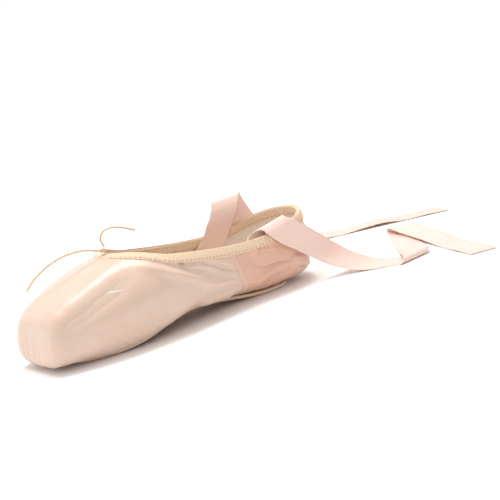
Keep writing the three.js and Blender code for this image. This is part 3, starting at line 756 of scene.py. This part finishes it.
def make_ribbon(name, node, rows, material):
    """A flat ribbon along its route, with woven edges a little thicker."""
    route = spline(rows, 10)
    path = route[:, :3]
    turn, tilt = np.radians(route[:, 3:]).T
    along = np.gradient(path, axis=0)
    along = along / np.linalg.norm(along, axis=1)[:, None]
    crease = np.stack([np.cos(tilt) * np.cos(turn), np.cos(tilt) * np.sin(turn), np.sin(tilt)], -1)
    face = np.cross(along, crease)
    size = np.linalg.norm(face, axis=1)[:, None]
    crease = crease * (RIBBON_WIDTH / 2) / np.maximum(size, 0.7)
    face = face / size
    run = np.concatenate([[0], np.cumsum(np.linalg.norm(np.diff(path, axis=0), axis=1))])
    across = np.linspace(1, -1, 17)
    edge = RIBBON_THICKNESS / 2 * np.where(np.abs(across) > 0.9, 1.25, 0.8)
    top = path[:, None] + crease[:, None] * across[None, :, None]
    upper = top + face[:, None] * edge[None, :, None]
    lower = top - face[:, None] * edge[None, :, None]
    section = np.concatenate([lower, upper[:, ::-1]], axis=1)
    section[..., 2] = np.maximum(section[..., 2], RIBBON_CLEARANCE)
    made = mesh_object(name, section, tube_faces(*section.shape[:2]), material)
    cloth = np.concatenate([across, across[::-1]]) * RIBBON_WIDTH / 2
    set_uv(made, np.stack(np.broadcast_arrays(cloth[None, :], run[:, None]), -1))
    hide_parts(node)
    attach(made, BODY)
    return made


def twisted_tube(path, radius, pitch, strands=3, sides=15, closed=False):
    """Vertices of a cord laid from strands that wind round a path."""
    if closed:
        along = np.roll(path, -1, 0) - np.roll(path, 1, 0)
    else:
        along = np.gradient(path, axis=0)
    along = along / np.linalg.norm(along, axis=1)[:, None]
    normal = np.cross(along[0], (0.0, 1.0, 0.1))
    normals = []
    for t in along:
        normal = normal - t * (normal @ t)
        normal = normal / np.linalg.norm(normal)
        normals.append(normal)
    normals = np.array(normals)
    across = np.cross(along, normals)
    steps = np.linalg.norm(np.diff(path, axis=0), axis=1)
    run = np.concatenate([[0], np.cumsum(steps)])
    turns = 2 * math.pi * np.arange(sides) / sides
    wind = 2 * math.pi * run / pitch
    swell = 1 + 0.1 * np.cos(strands * (turns[None, :] - wind[:, None] / strands))
    ring = normals[:, None] * np.cos(turns)[None, :, None] + across[:, None] * np.sin(turns)[None, :, None]
    return path[:, None] + ring * (radius * swell)[..., None]


def make_string(name, node, rows, material):
    """One loose end of the drawstring."""
    path = spline(rows, 24)
    tube = twisted_tube(path, STRING_DIAMETER / 2 * 0.95, STRING_LAY)
    made = mesh_object(name, tube, tube_faces(*tube.shape[:2]), material)
    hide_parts(node)
    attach(made, BODY)
    return made


def make_knot(material):
    """The drawstring's knot, a tight overhand knot lying on the casing."""
    u = np.linspace(0, 4 * math.pi, 181)[:-1]
    size = KNOT["radius"] * (2 + np.cos(1.5 * u)) * 0.5
    path = np.stack([
        KNOT["x"] + size * np.cos(u),
        size * np.sin(u),
        KNOT["z"] + KNOT["radius"] * np.sin(1.5 * u) * 0.5,
    ], -1)
    tube = twisted_tube(path, KNOT["strand"], STRING_LAY, closed=True)
    made = mesh_object("drawstring_knot_cord", tube, grid_faces(*tube.shape[:2], True, True), material)
    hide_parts("drawstring_knot")
    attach(made, BODY)
    return made


# ---------------------------------------------------------------- stitches


def stitch_tree(material):
    """Geometry Nodes that lay one thread stitch at each step along the paths they are given."""
    tree = bpy.data.node_groups.new("stitches", "GeometryNodeTree")
    face = tree.interface
    face.new_socket("Geometry", in_out="INPUT", socket_type="NodeSocketGeometry")
    for name in ("Pitch", "Length", "Width", "Height"):
        face.new_socket(name, in_out="INPUT", socket_type="NodeSocketFloat")
    face.new_socket("Geometry", in_out="OUTPUT", socket_type="NodeSocketGeometry")
    given = node(tree, "NodeGroupInput").outputs
    curve = node(tree, "GeometryNodeMeshToCurve", None, {"Mesh": given["Geometry"]})
    steps = node(tree, "GeometryNodeResampleCurve", {"mode": "LENGTH"}, {
        "Curve": curve.outputs["Curve"],
        "Length": given["Pitch"],
    })
    along = node(tree, "GeometryNodeInputTangent")
    outward = node(tree, "GeometryNodeInputNamedAttribute", {"data_type": "FLOAT_VECTOR"}, {
        "Name": "outward",
    })
    lengthwise = node(tree, "FunctionNodeAlignRotationToVector", {"axis": "X"}, {
        "Vector": along.outputs["Tangent"],
    })
    upright = node(tree, "FunctionNodeAlignRotationToVector", {"axis": "Z", "pivot_axis": "X"}, {
        "Rotation": lengthwise.outputs["Rotation"],
        "Vector": outward.outputs["Attribute"],
    })
    bead = node(tree, "GeometryNodeMeshUVSphere", None, {"Segments": 8, "Rings": 5, "Radius": 0.5})
    size = node(tree, "ShaderNodeCombineXYZ", None, {
        "X": given["Length"],
        "Y": given["Width"],
        "Z": given["Height"],
    })
    laid = node(tree, "GeometryNodeInstanceOnPoints", None, {
        "Points": steps.outputs["Curve"],
        "Instance": bead.outputs["Mesh"],
        "Rotation": upright.outputs["Rotation"],
        "Scale": size.outputs["Vector"],
    })
    real = node(tree, "GeometryNodeRealizeInstances", None, {"Geometry": laid.outputs["Instances"]})
    smooth = node(tree, "GeometryNodeSetShadeSmooth", None, {"Geometry": real.outputs["Geometry"]})
    done = node(tree, "GeometryNodeSetMaterial", None, {
        "Geometry": smooth.outputs["Geometry"],
        "Material": material,
    })
    node(tree, "NodeGroupOutput", None, {"Geometry": done.outputs["Geometry"]})
    return tree


def lay_stitches(name, paths, sizes, material):
    """Stitches along paths, each a closed flag, points and outward directions in the shoe's frame."""
    vertices, edges, outwards = [], [], []
    for closed, points, outward in paths:
        first = len(vertices)
        count = len(points)
        vertices.extend((np.asarray(points) * MM).tolist())
        outwards.extend(np.asarray(outward, float).tolist())
        edges.extend((first + k, first + k + 1) for k in range(count - 1))
        if closed:
            edges.append((first + count - 1, first))
    mesh = bpy.data.meshes.new(name)
    mesh.from_pydata(vertices, edges, [])
    stored = mesh.attributes.new("outward", "FLOAT_VECTOR", "POINT")
    stored.data.foreach_set("vector", np.array(outwards).ravel())
    made = bpy.data.objects.new(name, mesh)
    bpy.context.scene.collection.objects.link(made)
    tree = stitch_tree(material)
    modifier = made.modifiers.new("stitches", "NODES")
    modifier.node_group = tree
    for socket in tree.interface.items_tree:
        if socket.in_out == "INPUT" and socket.name in sizes:
            modifier[socket.identifier] = sizes[socket.name] * MM
    solid = bpy.data.meshes.new_from_object(made.evaluated_get(bpy.context.evaluated_depsgraph_get()))
    made.modifiers.remove(modifier)
    made.data = solid
    solid.name = name
    return made


def surface_tree(made):
    """A mesh's surface, for finding the nearest point on it."""
    mesh = made.data
    corners = [v.co.copy() for v in mesh.vertices]
    return BVHTree.FromPolygons(corners, [tuple(f.vertices) for f in mesh.polygons])


def laid_on(tree, points, sink=0.0):
    """Points brought onto a surface and sunk into it a little, with the directions out of it."""
    found = [tree.find_nearest(Vector(point) * MM) for point in points]
    places = np.array([place[:] for place, _, _, _ in found]) / MM
    normals = np.array([normal[:] for _, normal, _, _ in found])
    return places - normals * sink, normals


def side_of_last(at, z, side):
    """Points on one side of the last, in the shoe's frame, at distances and heights."""
    s = last_section(at)
    power = np.where(z > s["wide"], s["over"], s["under"])
    reach = np.where(z > s["wide"], s["crown"] - s["wide"], s["wide"] - s["low"])
    y = s["half"] * (1 - np.clip(np.abs(z - s["wide"]) / reach, 0, 1) ** power) ** (1 / power)
    return place(np.stack([at, side * y, z], -1))


# ---------------------------------------------------------------- outsole and insole


def plate_stations(front, back, count):
    """Distances from the toe, closer together at both ends."""
    t = np.linspace(0, 1, count)
    eased = t - np.sin(2 * math.pi * t) / (2 * math.pi)
    return front + (back - front) * (0.35 * t + 0.65 * eased)


def loft(name, rings, material):
    """A closed solid through rings of the last, in the shoe's frame."""
    return mesh_object(name, place(rings), tube_faces(*rings.shape[:2]), material)


STITCH_INSET = 4.3
STITCH_PITCH = 5.6
SECOND_ROW_INSET = 9.6
SECOND_ROW_TO = 88
CHANNEL_DEPTH = 0.55
CHANNEL_WIDTH = 1.1
SOLE_HOLES = (119, 145)
EDGE_ROUND = 0.9  # how far the sole's edge is rounded in
SKIVE = 0.9  # how much thinner the leather is at its edge


def evenly(line, count):
    """A line through count points at even distances."""
    run = np.concatenate([[0], np.cumsum(np.linalg.norm(np.diff(line, axis=0), axis=1))])
    even = np.linspace(0, run[-1], count)
    return np.stack([np.interp(even, run, line[:, k]) for k in range(line.shape[1])], -1)


def inset_outline(inset):
    """The outsole's outline moved inwards, evenly spaced round from the near side of the front."""
    at = plate_stations(OUTSOLE_FRONT, OUTSOLE_BACK, 900)
    half = read(OUTSOLE, "half", at)
    outline = np.concatenate([np.stack([at, -half], -1), np.stack([at, half], -1)[::-1]])
    outline = evenly(np.concatenate([outline, outline[:1]]), 1200)[:-1]
    aim = np.roll(outline, -4, 0) - np.roll(outline, 4, 0)
    inwards = np.stack([-aim[:, 1], aim[:, 0]], -1) / np.linalg.norm(aim, axis=1)[:, None]
    moved = outline + inwards * inset
    to_edge = np.linalg.norm(moved[:, None] - outline[None, ::4], axis=2).min(1)
    return moved[to_edge > inset - 0.12]


def sole_paths():
    """The two stitch rows of the sole, as closed flag and points with at and y."""
    outer = inset_outline(STITCH_INSET)
    inner = inset_outline(SECOND_ROW_INSET)
    inner = inner[inner[:, 0] < SECOND_ROW_TO]
    first = np.argmax(np.linalg.norm(np.roll(inner, 1, 0) - inner, axis=1))
    inner = np.roll(inner, -first, 0)
    # the inner row runs out to meet the outer one on both sides of the waist
    joins = []
    for side in (1, -1):
        away = np.linalg.norm(outer - (SECOND_ROW_TO + 9, side * 21), axis=1)
        joins.append(outer[np.argmin(away)])
    ends = sorted(joins, key=lambda p: np.linalg.norm(p - inner[0]))
    inner = np.concatenate([ends[0][None], inner, ends[1][None]])
    outer = np.concatenate([outer, outer[:1]])
    return [(True, evenly(outer, 900)[:-1]), (False, evenly(inner, 400))]


def make_outsole(leather):
    """The leather outsole, skived thinner at its edge, with stitch channels in its underside."""
    at = plate_stations(OUTSOLE_FRONT, OUTSOLE_BACK, 330)
    half = read(OUTSOLE, "half", at)
    top = underside(at) - GAP
    low = top - OUTSOLE_THICKNESS
    turns = np.linspace(0, math.pi / 2, 5)
    skive = SKIVE * np.clip(1 - np.linspace(0, 1, 13) * 13 / 5, 0, 1) ** 2
    across = np.concatenate([1 - np.linspace(0, 0.14, 13), np.linspace(0.86, -0.86, 71)[1:-1]])
    across = np.concatenate([across, -(1 - np.linspace(0.14, 0, 13))])
    skive = np.concatenate([skive, np.zeros(69), skive[::-1]])
    far = []
    for t in turns[:-1]:
        y = half - EDGE_ROUND * (1 - np.cos(t))
        far.append(np.stack([at, y, top - 0.4 - (OUTSOLE_THICKNESS - 1.3) * np.sin(t)], -1))
    flat = [np.stack([at, a * (half - EDGE_ROUND), low + k], -1) for a, k in zip(across, skive)]
    near = [p * (1, -1, 1) for p in far[::-1]]
    upper = [np.stack([at, a * half * 0.985, top], -1) for a in np.linspace(-1, 1, 9)]
    rings = np.stack(far + flat + near + upper, 1)
    first, last = len(far), len(far) + len(flat)
    surface = rings[:, first:last, :2].reshape(-1, 2)
    sunk = np.zeros(len(surface))
    for _, path in sole_paths():
        away = np.linalg.norm(surface[:, None] - path[None, ::2], axis=2).min(1)
        sunk = np.maximum(sunk, CHANNEL_DEPTH * np.exp(-((away / CHANNEL_WIDTH) ** 2)))
    for hole_at in SOLE_HOLES:
        away = np.linalg.norm(surface - (hole_at, 0), axis=1)
        sunk = np.maximum(sunk, 0.9 * np.exp(-((away / 0.9) ** 4)))
    rings[:, first:last, 2] += sunk.reshape(len(at), -1)
    made = loft("outsole_leather", rings, leather)
    worn = np.zeros(rings.shape[:2])
    worn[:, first:last] = 1 - skive[None, :]
    mask = made.data.attributes.new("underside", "FLOAT", "POINT")
    mask.data.foreach_set("value", worn.ravel())
    return made


def sole_stitches(thread, dark, outsole):
    """The sole's thread, sunk in its channels, and a dark bead midway between stitches, painted shade for
    its needle hole.
    """
    tree = surface_tree(outsole)
    threads, hole_shades = [], []
    for closed, path in sole_paths():
        level = underside(path[:, 0]) - GAP - OUTSOLE_THICKNESS
        points = place(np.concatenate([path, level[:, None] - 1], 1))
        points, normals = laid_on(tree, points, 0.12)
        threads.append((closed, points, normals))
        step = np.linalg.norm(np.diff(points, axis=0), axis=1).mean()
        half_pitch = int(STITCH_PITCH / 2 / step)
        points = points + normals * 0.06
        if closed:
            hole_shades.append((closed, np.roll(points, -half_pitch, 0), normals))
        else:
            hole_shades.append((closed, points[half_pitch:], normals[half_pitch:]))
    sizes = {"Pitch": STITCH_PITCH, "Length": 4.1, "Width": 0.85, "Height": 0.5}
    made = [lay_stitches("sole_thread", threads, sizes, thread)]
    # dark beads that paint the shade of each needle hole
    sizes = {"Pitch": STITCH_PITCH, "Length": 1.5, "Width": 1.4, "Height": 0.3}
    made.append(lay_stitches("sole_thread_hole_shade", hole_shades, sizes, dark))
    return made


def make_insole(canvas):
    """The insole's board and sock, curved to the inside of the upper."""
    at = plate_stations(INSOLE_FRONT, INSOLE_BACK, 90)
    s = last_section(at)
    to_end = np.minimum(np.minimum(at - INSOLE_FRONT, INSOLE_BACK - at), INSOLE_ROUND)
    reach = INSOLE_REACH * np.maximum(np.sqrt(1 - (1 - to_end / INSOLE_ROUND) ** 2), 0.2)

    def profile(lift, sides, trim):
        made = []
        for side in sides:
            share = reach * side
            level = 1 - np.abs(share) ** s["under"]
            deep = s["wide"] - s["low"]
            rise = deep * (1 - level ** (1 / s["under"]))
            steep = deep / s["half"] * np.abs(share) ** (s["under"] - 1)
            turn = np.arctan(steep * level ** (1 / s["under"] - 1)) * np.sign(share)
            y = share * s["half"] - (lift + trim) * np.sin(turn)
            made.append(np.stack([at, y, s["low"] + rise + (lift + trim) * np.cos(turn)], -1))
        return made

    lift = wall(at) + 1.5 * GAP
    sides = np.linspace(-1, 1, 31)
    top = profile(lift, sides * 0.985, INSOLE_THICKNESS)
    shoulder = [profile(lift, [side], INSOLE_THICKNESS - 0.5)[0] for side in (1, -1)]
    bottom = profile(lift, np.linspace(1, -1, 9), 0)
    rings = np.stack(top + shoulder[:1] + bottom + shoulder[1:], 1)
    return loft("insole_sock", rings[:, ::-1], canvas)


# ---------------------------------------------------------------- materials


def srgb(hex_colour):
    """A linear colour from sRGB hex."""
    parts = [int(hex_colour[k : k + 2], 16) / 255 for k in (1, 3, 5)]
    return tuple(c / 12.92 if c <= 0.04045 else ((c + 0.055) / 1.055) ** 2.4 for c in parts) + (1.0,)


def node(tree, kind, settings=None, inputs=None):
    """Adds a node, sets its properties, and sets or links its inputs."""
    made = tree.nodes.new(kind)
    for key, value in (settings or {}).items():
        setattr(made, key, value)
    for key, value in (inputs or {}).items():
        if isinstance(value, bpy.types.NodeSocket):
            tree.links.new(value, made.inputs[key])
        else:
            made.inputs[key].default_value = value
    return made


def new_material(name, **surface):
    material = bpy.data.materials.new(name)
    material.use_nodes = True
    tree = material.node_tree
    shader = tree.nodes["Principled BSDF"]
    for key, value in surface.items():
        shader.inputs[key.replace("_", " ")].default_value = value
    return material, tree, shader


def cloth_uv(tree, across, along):
    """The cloth's own map in millimetres, scaled to threads across and along."""
    uv = node(tree, "ShaderNodeUVMap", {"uv_map": "cloth"})
    return node(tree, "ShaderNodeMapping", None, {
        "Vector": uv.outputs["UV"],
        "Scale": (across, along, 1),
    }).outputs["Vector"]


def maths(tree, operation, *values, clamp=False):
    settings = {"operation": operation, "use_clamp": clamp}
    return node(tree, "ShaderNodeMath", settings, dict(enumerate(values))).outputs["Value"]


def relief(tree, height, strength, distance, **under):
    """A bump, on top of another where its normal is given."""
    return node(tree, "ShaderNodeBump", None, {
        "Height": height,
        "Strength": strength,
        "Distance": distance,
        **under,
    }).outputs["Normal"]


def mix_colour(tree, share, low, high):
    return node(tree, "ShaderNodeMix", {"data_type": "RGBA"}, {0: share, 6: low, 7: high}).outputs[2]


def satin_material(name, light, dark, deep, roughness):
    """Duchesse satin, woven with long silky floats: a soft broad lustre along the threads."""
    material, tree, shader = new_material(
        name,
        Roughness=roughness,
        IOR=1.5,
        Specular_IOR_Level=0.55,
        Anisotropic=0.6,
        Sheen_Weight=0.22,
        Sheen_Roughness=0.45,
        Sheen_Tint=srgb("#fff1e8"),
        Subsurface_Weight=0.06,
        Subsurface_Scale=0.002,
    )
    lustre = node(tree, "ShaderNodeTangent", {"direction_type": "UV_MAP", "uv_map": "cloth"})
    tree.links.new(lustre.outputs["Tangent"], shader.inputs["Tangent"])
    # soft clouds of colour about 20 mm across, as handled satin takes
    where = node(tree, "ShaderNodeTexCoord").outputs["Object"]
    cloud = node(tree, "ShaderNodeTexNoise", None, {"Vector": where, "Scale": 48, "Detail": 3})
    tint = mix_colour(tree, cloud.outputs["Fac"], srgb(dark), srgb(light))
    # painted shade: the soft quarters behind the side seams are darkened towards the deep colour
    quarter = node(tree, "ShaderNodeAttribute", {"attribute_name": "quarter"}).outputs["Fac"]
    tint = mix_colour(tree, quarter, tint, srgb(deep))
    # satin floats, drawn 3 to the millimetre because the real 40 are too fine to show
    floats = node(tree, "ShaderNodeTexNoise", None, {
        "Vector": cloth_uv(tree, 3, 0.25),
        "Scale": 1,
        "Detail": 2,
    })
    streak = node(tree, "ShaderNodeMapRange", None, {
        "Value": floats.outputs["Fac"],
        "From Min": 0.3,
        "From Max": 0.7,
        "To Min": 0.955,
        "To Max": 1.0,
    })
    shade = node(tree, "ShaderNodeMix", {"data_type": "RGBA", "blend_type": "MULTIPLY"}, {
        0: 1.0,
        6: tint,
        7: streak.outputs["Result"],
    })
    tree.links.new(shade.outputs[2], shader.inputs["Base Color"])
    # slack in the cloth, a few millimetres across, under the thread relief
    slack = node(tree, "ShaderNodeTexNoise", None, {"Vector": where, "Scale": 170, "Detail": 2})
    soft = relief(tree, slack.outputs["Fac"], 0.22, 0.001)
    fine = relief(tree, floats.outputs["Fac"], 0.1, 0.0002, Normal=soft)
    tree.links.new(fine, shader.inputs["Normal"])
    return material


def woven_material(name, light, dark, roughness, threads, depth):
    """Plain-woven cotton: matt, with crossing threads and slightly uneven yarn."""
    material, tree, shader = new_material(
        name, Roughness=roughness, Sheen_Weight=0.15, Sheen_Roughness=0.5
    )
    vector = cloth_uv(tree, threads, threads)
    warp = node(tree, "ShaderNodeTexWave", {"bands_direction": "X"}, {
        "Vector": vector,
        "Scale": 0.5,
        "Distortion": 0.6,
    })
    weft = node(tree, "ShaderNodeTexWave", {"bands_direction": "Y"}, {
        "Vector": vector,
        "Scale": 0.5,
        "Distortion": 0.6,
    })
    weave = maths(tree, "MAXIMUM", warp.outputs["Fac"], weft.outputs["Fac"])
    yarn = node(tree, "ShaderNodeTexNoise", None, {"Vector": vector, "Scale": 0.7, "Detail": 3})
    share = maths(tree, "MULTIPLY", weave, yarn.outputs["Fac"])
    share = maths(tree, "MULTIPLY", share, 1.8, clamp=True)
    colour = mix_colour(tree, share, srgb(dark), srgb(light))
    tree.links.new(colour, shader.inputs["Base Color"])
    tree.links.new(relief(tree, weave, depth, 0.0003), shader.inputs["Normal"])
    return material


def thread_material(name, light, dark, roughness):
    """Spun cotton thread or cord: matt, with uneven fibres a fraction of a millimetre apart."""
    material, tree, shader = new_material(name, Roughness=roughness, Sheen_Weight=0.2)
    where = node(tree, "ShaderNodeTexCoord").outputs["Object"]
    fibre = node(tree, "ShaderNodeTexNoise", None, {"Vector": where, "Scale": 1500, "Detail": 2})
    colour = mix_colour(tree, fibre.outputs["Fac"], srgb(dark), srgb(light))
    tree.links.new(colour, shader.inputs["Base Color"])
    tree.links.new(relief(tree, fibre.outputs["Fac"], 0.3, 0.0002), shader.inputs["Normal"])
    return material


FOIL_MARKS = [
    {"at": 62, "radius": 8.5, "petals": 4},
    {"at": 180, "radius": 3.4, "petals": 3},
    {"at": 196, "radius": 3.4, "petals": 3},
]
FOIL_CENTRE = 0.28  # bare middle of a rosette, as a share of its radius


def foil_mask(tree, where):
    """Stamped gold rosettes on the sole's centre line, 0 or 1 over the underside."""
    mask = None
    for mark in FOIL_MARKS:
        x = (mark["at"] - (LENGTH + TIP_BACK) / 2) * MM
        moved = node(tree, "ShaderNodeVectorMath", {"operation": "SUBTRACT"}, {0: where, 1: (x, 0, 0)})
        parts = node(tree, "ShaderNodeSeparateXYZ", None, {0: moved.outputs["Vector"]}).outputs
        turn = maths(tree, "ARCTAN2", parts["Y"], parts["X"])
        wave = maths(tree, "COSINE", maths(tree, "MULTIPLY", turn, mark["petals"]))
        petal = maths(tree, "MULTIPLY", maths(tree, "ABSOLUTE", wave), mark["radius"] * MM)
        flat = node(tree, "ShaderNodeCombineXYZ", None, {0: parts["X"], 1: parts["Y"]})
        out = node(tree, "ShaderNodeVectorMath", {"operation": "LENGTH"}, {0: flat.outputs["Vector"]})
        inside = maths(tree, "LESS_THAN", out.outputs["Value"], petal)
        outside = maths(tree, "GREATER_THAN", out.outputs["Value"], mark["radius"] * MM * FOIL_CENTRE)
        both = maths(tree, "MULTIPLY", inside, outside)
        mask = both if mask is None else maths(tree, "MAXIMUM", mask, both)
    return mask


def leather_material(name):
    """Suede-finished sole leather, split and buffed: matt and mottled, its cut edge pale."""
    material, tree, shader = new_material(name, Roughness=0.8)
    where = node(tree, "ShaderNodeTexCoord").outputs["Object"]
    # clouds of about 25 mm and nap speckle of about 1 mm
    cloud = node(tree, "ShaderNodeTexNoise", None, {"Vector": where, "Scale": 40, "Detail": 5})
    nap = node(tree, "ShaderNodeTexNoise", None, {"Vector": where, "Scale": 900, "Detail": 3})
    hide = mix_colour(tree, cloud.outputs["Fac"], srgb("#b07a5f"), srgb("#c9967b"))
    fleck = node(tree, "ShaderNodeMapRange", None, {
        "Value": nap.outputs["Fac"],
        "From Min": 0.35,
        "From Max": 0.65,
        "To Min": 0.86,
        "To Max": 1.06,
    })
    hide = node(tree, "ShaderNodeMix", {"data_type": "RGBA", "blend_type": "MULTIPLY"}, {
        0: 1.0,
        6: hide,
        7: fleck.outputs["Result"],
    }).outputs[2]
    underside_mask = node(tree, "ShaderNodeAttribute", {"attribute_name": "underside"}).outputs["Fac"]
    hide = mix_colour(tree, underside_mask, srgb("#f0dcc2"), hide)
    foil = maths(tree, "MULTIPLY", foil_mask(tree, where), underside_mask)
    # worn foil lets specks of hide through
    foil = maths(tree, "MULTIPLY", foil, maths(tree, "GREATER_THAN", nap.outputs["Fac"], 0.4))
    tree.links.new(mix_colour(tree, foil, hide, srgb("#d9b04c")), shader.inputs["Base Color"])
    tree.links.new(foil, shader.inputs["Metallic"])
    rough = node(tree, "ShaderNodeMapRange", None, {"Value": foil, "To Min": 0.8, "To Max": 0.32})
    tree.links.new(rough.outputs["Result"], shader.inputs["Roughness"])
    tree.links.new(relief(tree, nap.outputs["Fac"], 0.35, 0.0003), shader.inputs["Normal"])
    return material


def plain_material(name, colour, roughness):
    """One even colour, without relief."""
    material, _, shader = new_material(name, Roughness=roughness)
    shader.inputs["Base Color"].default_value = srgb(colour)
    return material


# ---------------------------------------------------------------- stage


def make_stage():
    """White paper under a white room, with two soft lamps above and one in front."""
    size = 6000
    corners = [(-size, -size, 0), (size, -size, 0), (size, size, 0), (-size, size, 0)]
    paper = plain_material("paper_sweep", "#f6f5f5", 0.9)
    # matt white paper that glows away from the shoe: the eye gets no edge between floor and wall
    tree = paper.node_tree
    shader = tree.nodes["Principled BSDF"]
    ground = node(tree, "ShaderNodeTexCoord").outputs["Object"]
    away = node(tree, "ShaderNodeVectorMath", {"operation": "LENGTH"}, {0: ground})
    glow = node(tree, "ShaderNodeMapRange", None, {
        "Value": away.outputs["Value"],
        "From Min": 0.35,
        "From Max": 1.2,
    })
    shader.inputs["Emission Color"].default_value = (1, 1, 1, 1)
    tree.links.new(glow.outputs["Result"], shader.inputs["Emission Strength"])
    floor = mesh_object("floor", corners, [(0, 1, 2, 3)], paper)
    world = bpy.data.worlds.new("studio")
    bpy.context.scene.world = world
    world.use_nodes = True
    tree = world.node_tree
    sky = tree.nodes["Background"]
    # a white room, darker on the near side so that the satin's front has shade to show
    aim = node(tree, "ShaderNodeTexCoord").outputs["Generated"]
    towards = node(tree, "ShaderNodeVectorMath", {"operation": "DOT_PRODUCT"}, {
        0: aim,
        1: (-0.45, 0.7, 0.3),
    })
    share = node(tree, "ShaderNodeMapRange", None, {
        "Value": towards.outputs["Value"],
        "From Min": -0.8,
        "From Max": 0.05,
    })
    white = mix_colour(tree, share.outputs["Result"], srgb("#8a827e"), srgb("#ffffff"))
    tree.links.new(white, sky.inputs["Color"])
    sky.inputs["Strength"].default_value = 1.0

    def area(name, at, size, power, colour):
        data = bpy.data.lights.new(name, "AREA")
        data.size = size
        data.energy = power
        data.color = srgb(colour)[:3]
        lamp = bpy.data.objects.new(name, data)
        bpy.context.scene.collection.objects.link(lamp)
        lamp.location = at
        lamp.rotation_euler = Vector(at).to_track_quat("Z", "Y").to_euler()

    area("key", (0.24, 0.17, 1.02), 0.3, 4.6, "#fffaf6")
    area("toe", (-0.10, 0.17, 1.02), 0.3, 3.0, "#fffaf6")
    area("side", (-0.9, -0.9, 0.5), 0.7, 0.9, "#fff3ea")
    bpy.context.scene.view_settings.view_transform = "Standard"


# ---------------------------------------------------------------- putting it together


def finished(piece, nodes):
    if nodes:
        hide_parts(*nodes)
    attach(piece, BODY)


make_camera()
ribbon_satin = satin_material("ribbon_satin", "#f4d8cc", "#f0cfc2", "#f0cfc2", 0.42)
cotton_cord = thread_material("cotton_cord", "#e8cfae", "#c9a67c", 0.8)
make_ribbon("near_ribbon", "ribbon_near", NEAR_RIBBON, ribbon_satin)
make_ribbon("far_ribbon", "ribbon_far", FAR_RIBBON, ribbon_satin)
knot = make_knot(cotton_cord)
make_string("long_string_end", "drawstring_end_long", STRING_LONG, cotton_cord)
make_string("short_string_end", "drawstring_end_short", STRING_SHORT, cotton_cord)

# the third colour is the painted shade of the quarters behind the side seams
satin = satin_material("duchesse_satin", "#e2c9b9", "#dabda9", "#dfb29c", 0.34)
canvas = woven_material("cotton_canvas", "#f2e8dd", "#d9c9b8", 0.9, 1.1, 0.35)
cotton = woven_material("cotton_tape", "#f2dbc0", "#dcbb98", 0.85, 1.4, 0.4)
pink_thread = thread_material("silk_thread", "#d9ab98", "#c48f7c", 0.6)
tan_thread = thread_material("binding_thread", "#b98a62", "#96683f", 0.75)
cream_thread = thread_material("waxed_thread", "#efdcc2", "#cfb18d", 0.65)
# painted shade: the dark brown of the sole's needle holes
shadow = plain_material("needle_hole_shade", "#5d3626", 0.95)
leather = leather_material("sole_leather")

shell, lining = make_upper(satin, canvas)
strip, strip_seams = make_heel_strip(satin)
casing, casing_seams = make_binding(cotton)
outsole = make_outsole(leather)
finished(shell, ["upper"])
finished(lining, ["upper"])
finished(strip, [])
finished(casing, ["collar_binding"])
finished(outsole, ["outsole"])
finished(make_insole(canvas), ["insole"])

shell_tree = surface_tree(shell)
height_of_seam = np.linspace(SEAM["low_z"] + 1, SEAM["top_z"] - 4, 60)
lean = (SEAM["top_at"] - SEAM["low_at"]) / (SEAM["top_z"] - SEAM["low_z"])
seam_at = SEAM["low_at"] + lean * (height_of_seam - SEAM["low_z"])
side_seams = [
    (False, *laid_on(shell_tree, side_of_last(seam_at + offset, height_of_seam, side)))
    for side in (-1, 1)
    for offset in (-SEAM["half"], SEAM["half"])
]
fine = {"Pitch": 2.6, "Length": 1.9, "Width": 0.42, "Height": 0.4}
finished(lay_stitches("side_seam_stitches", side_seams, fine, pink_thread), [])
finished(lay_stitches("heel_strip_stitches", strip_seams, fine, pink_thread), [])
dashes = {"Pitch": 3.4, "Length": 2.1, "Width": 0.5, "Height": 0.42}
finished(lay_stitches("casing_stitches", casing_seams, dashes, tan_thread), [])
for piece in sole_stitches(cream_thread, shadow, outsole):
    finished(piece, [])

make_stage()
bpy.context.view_layer.update()
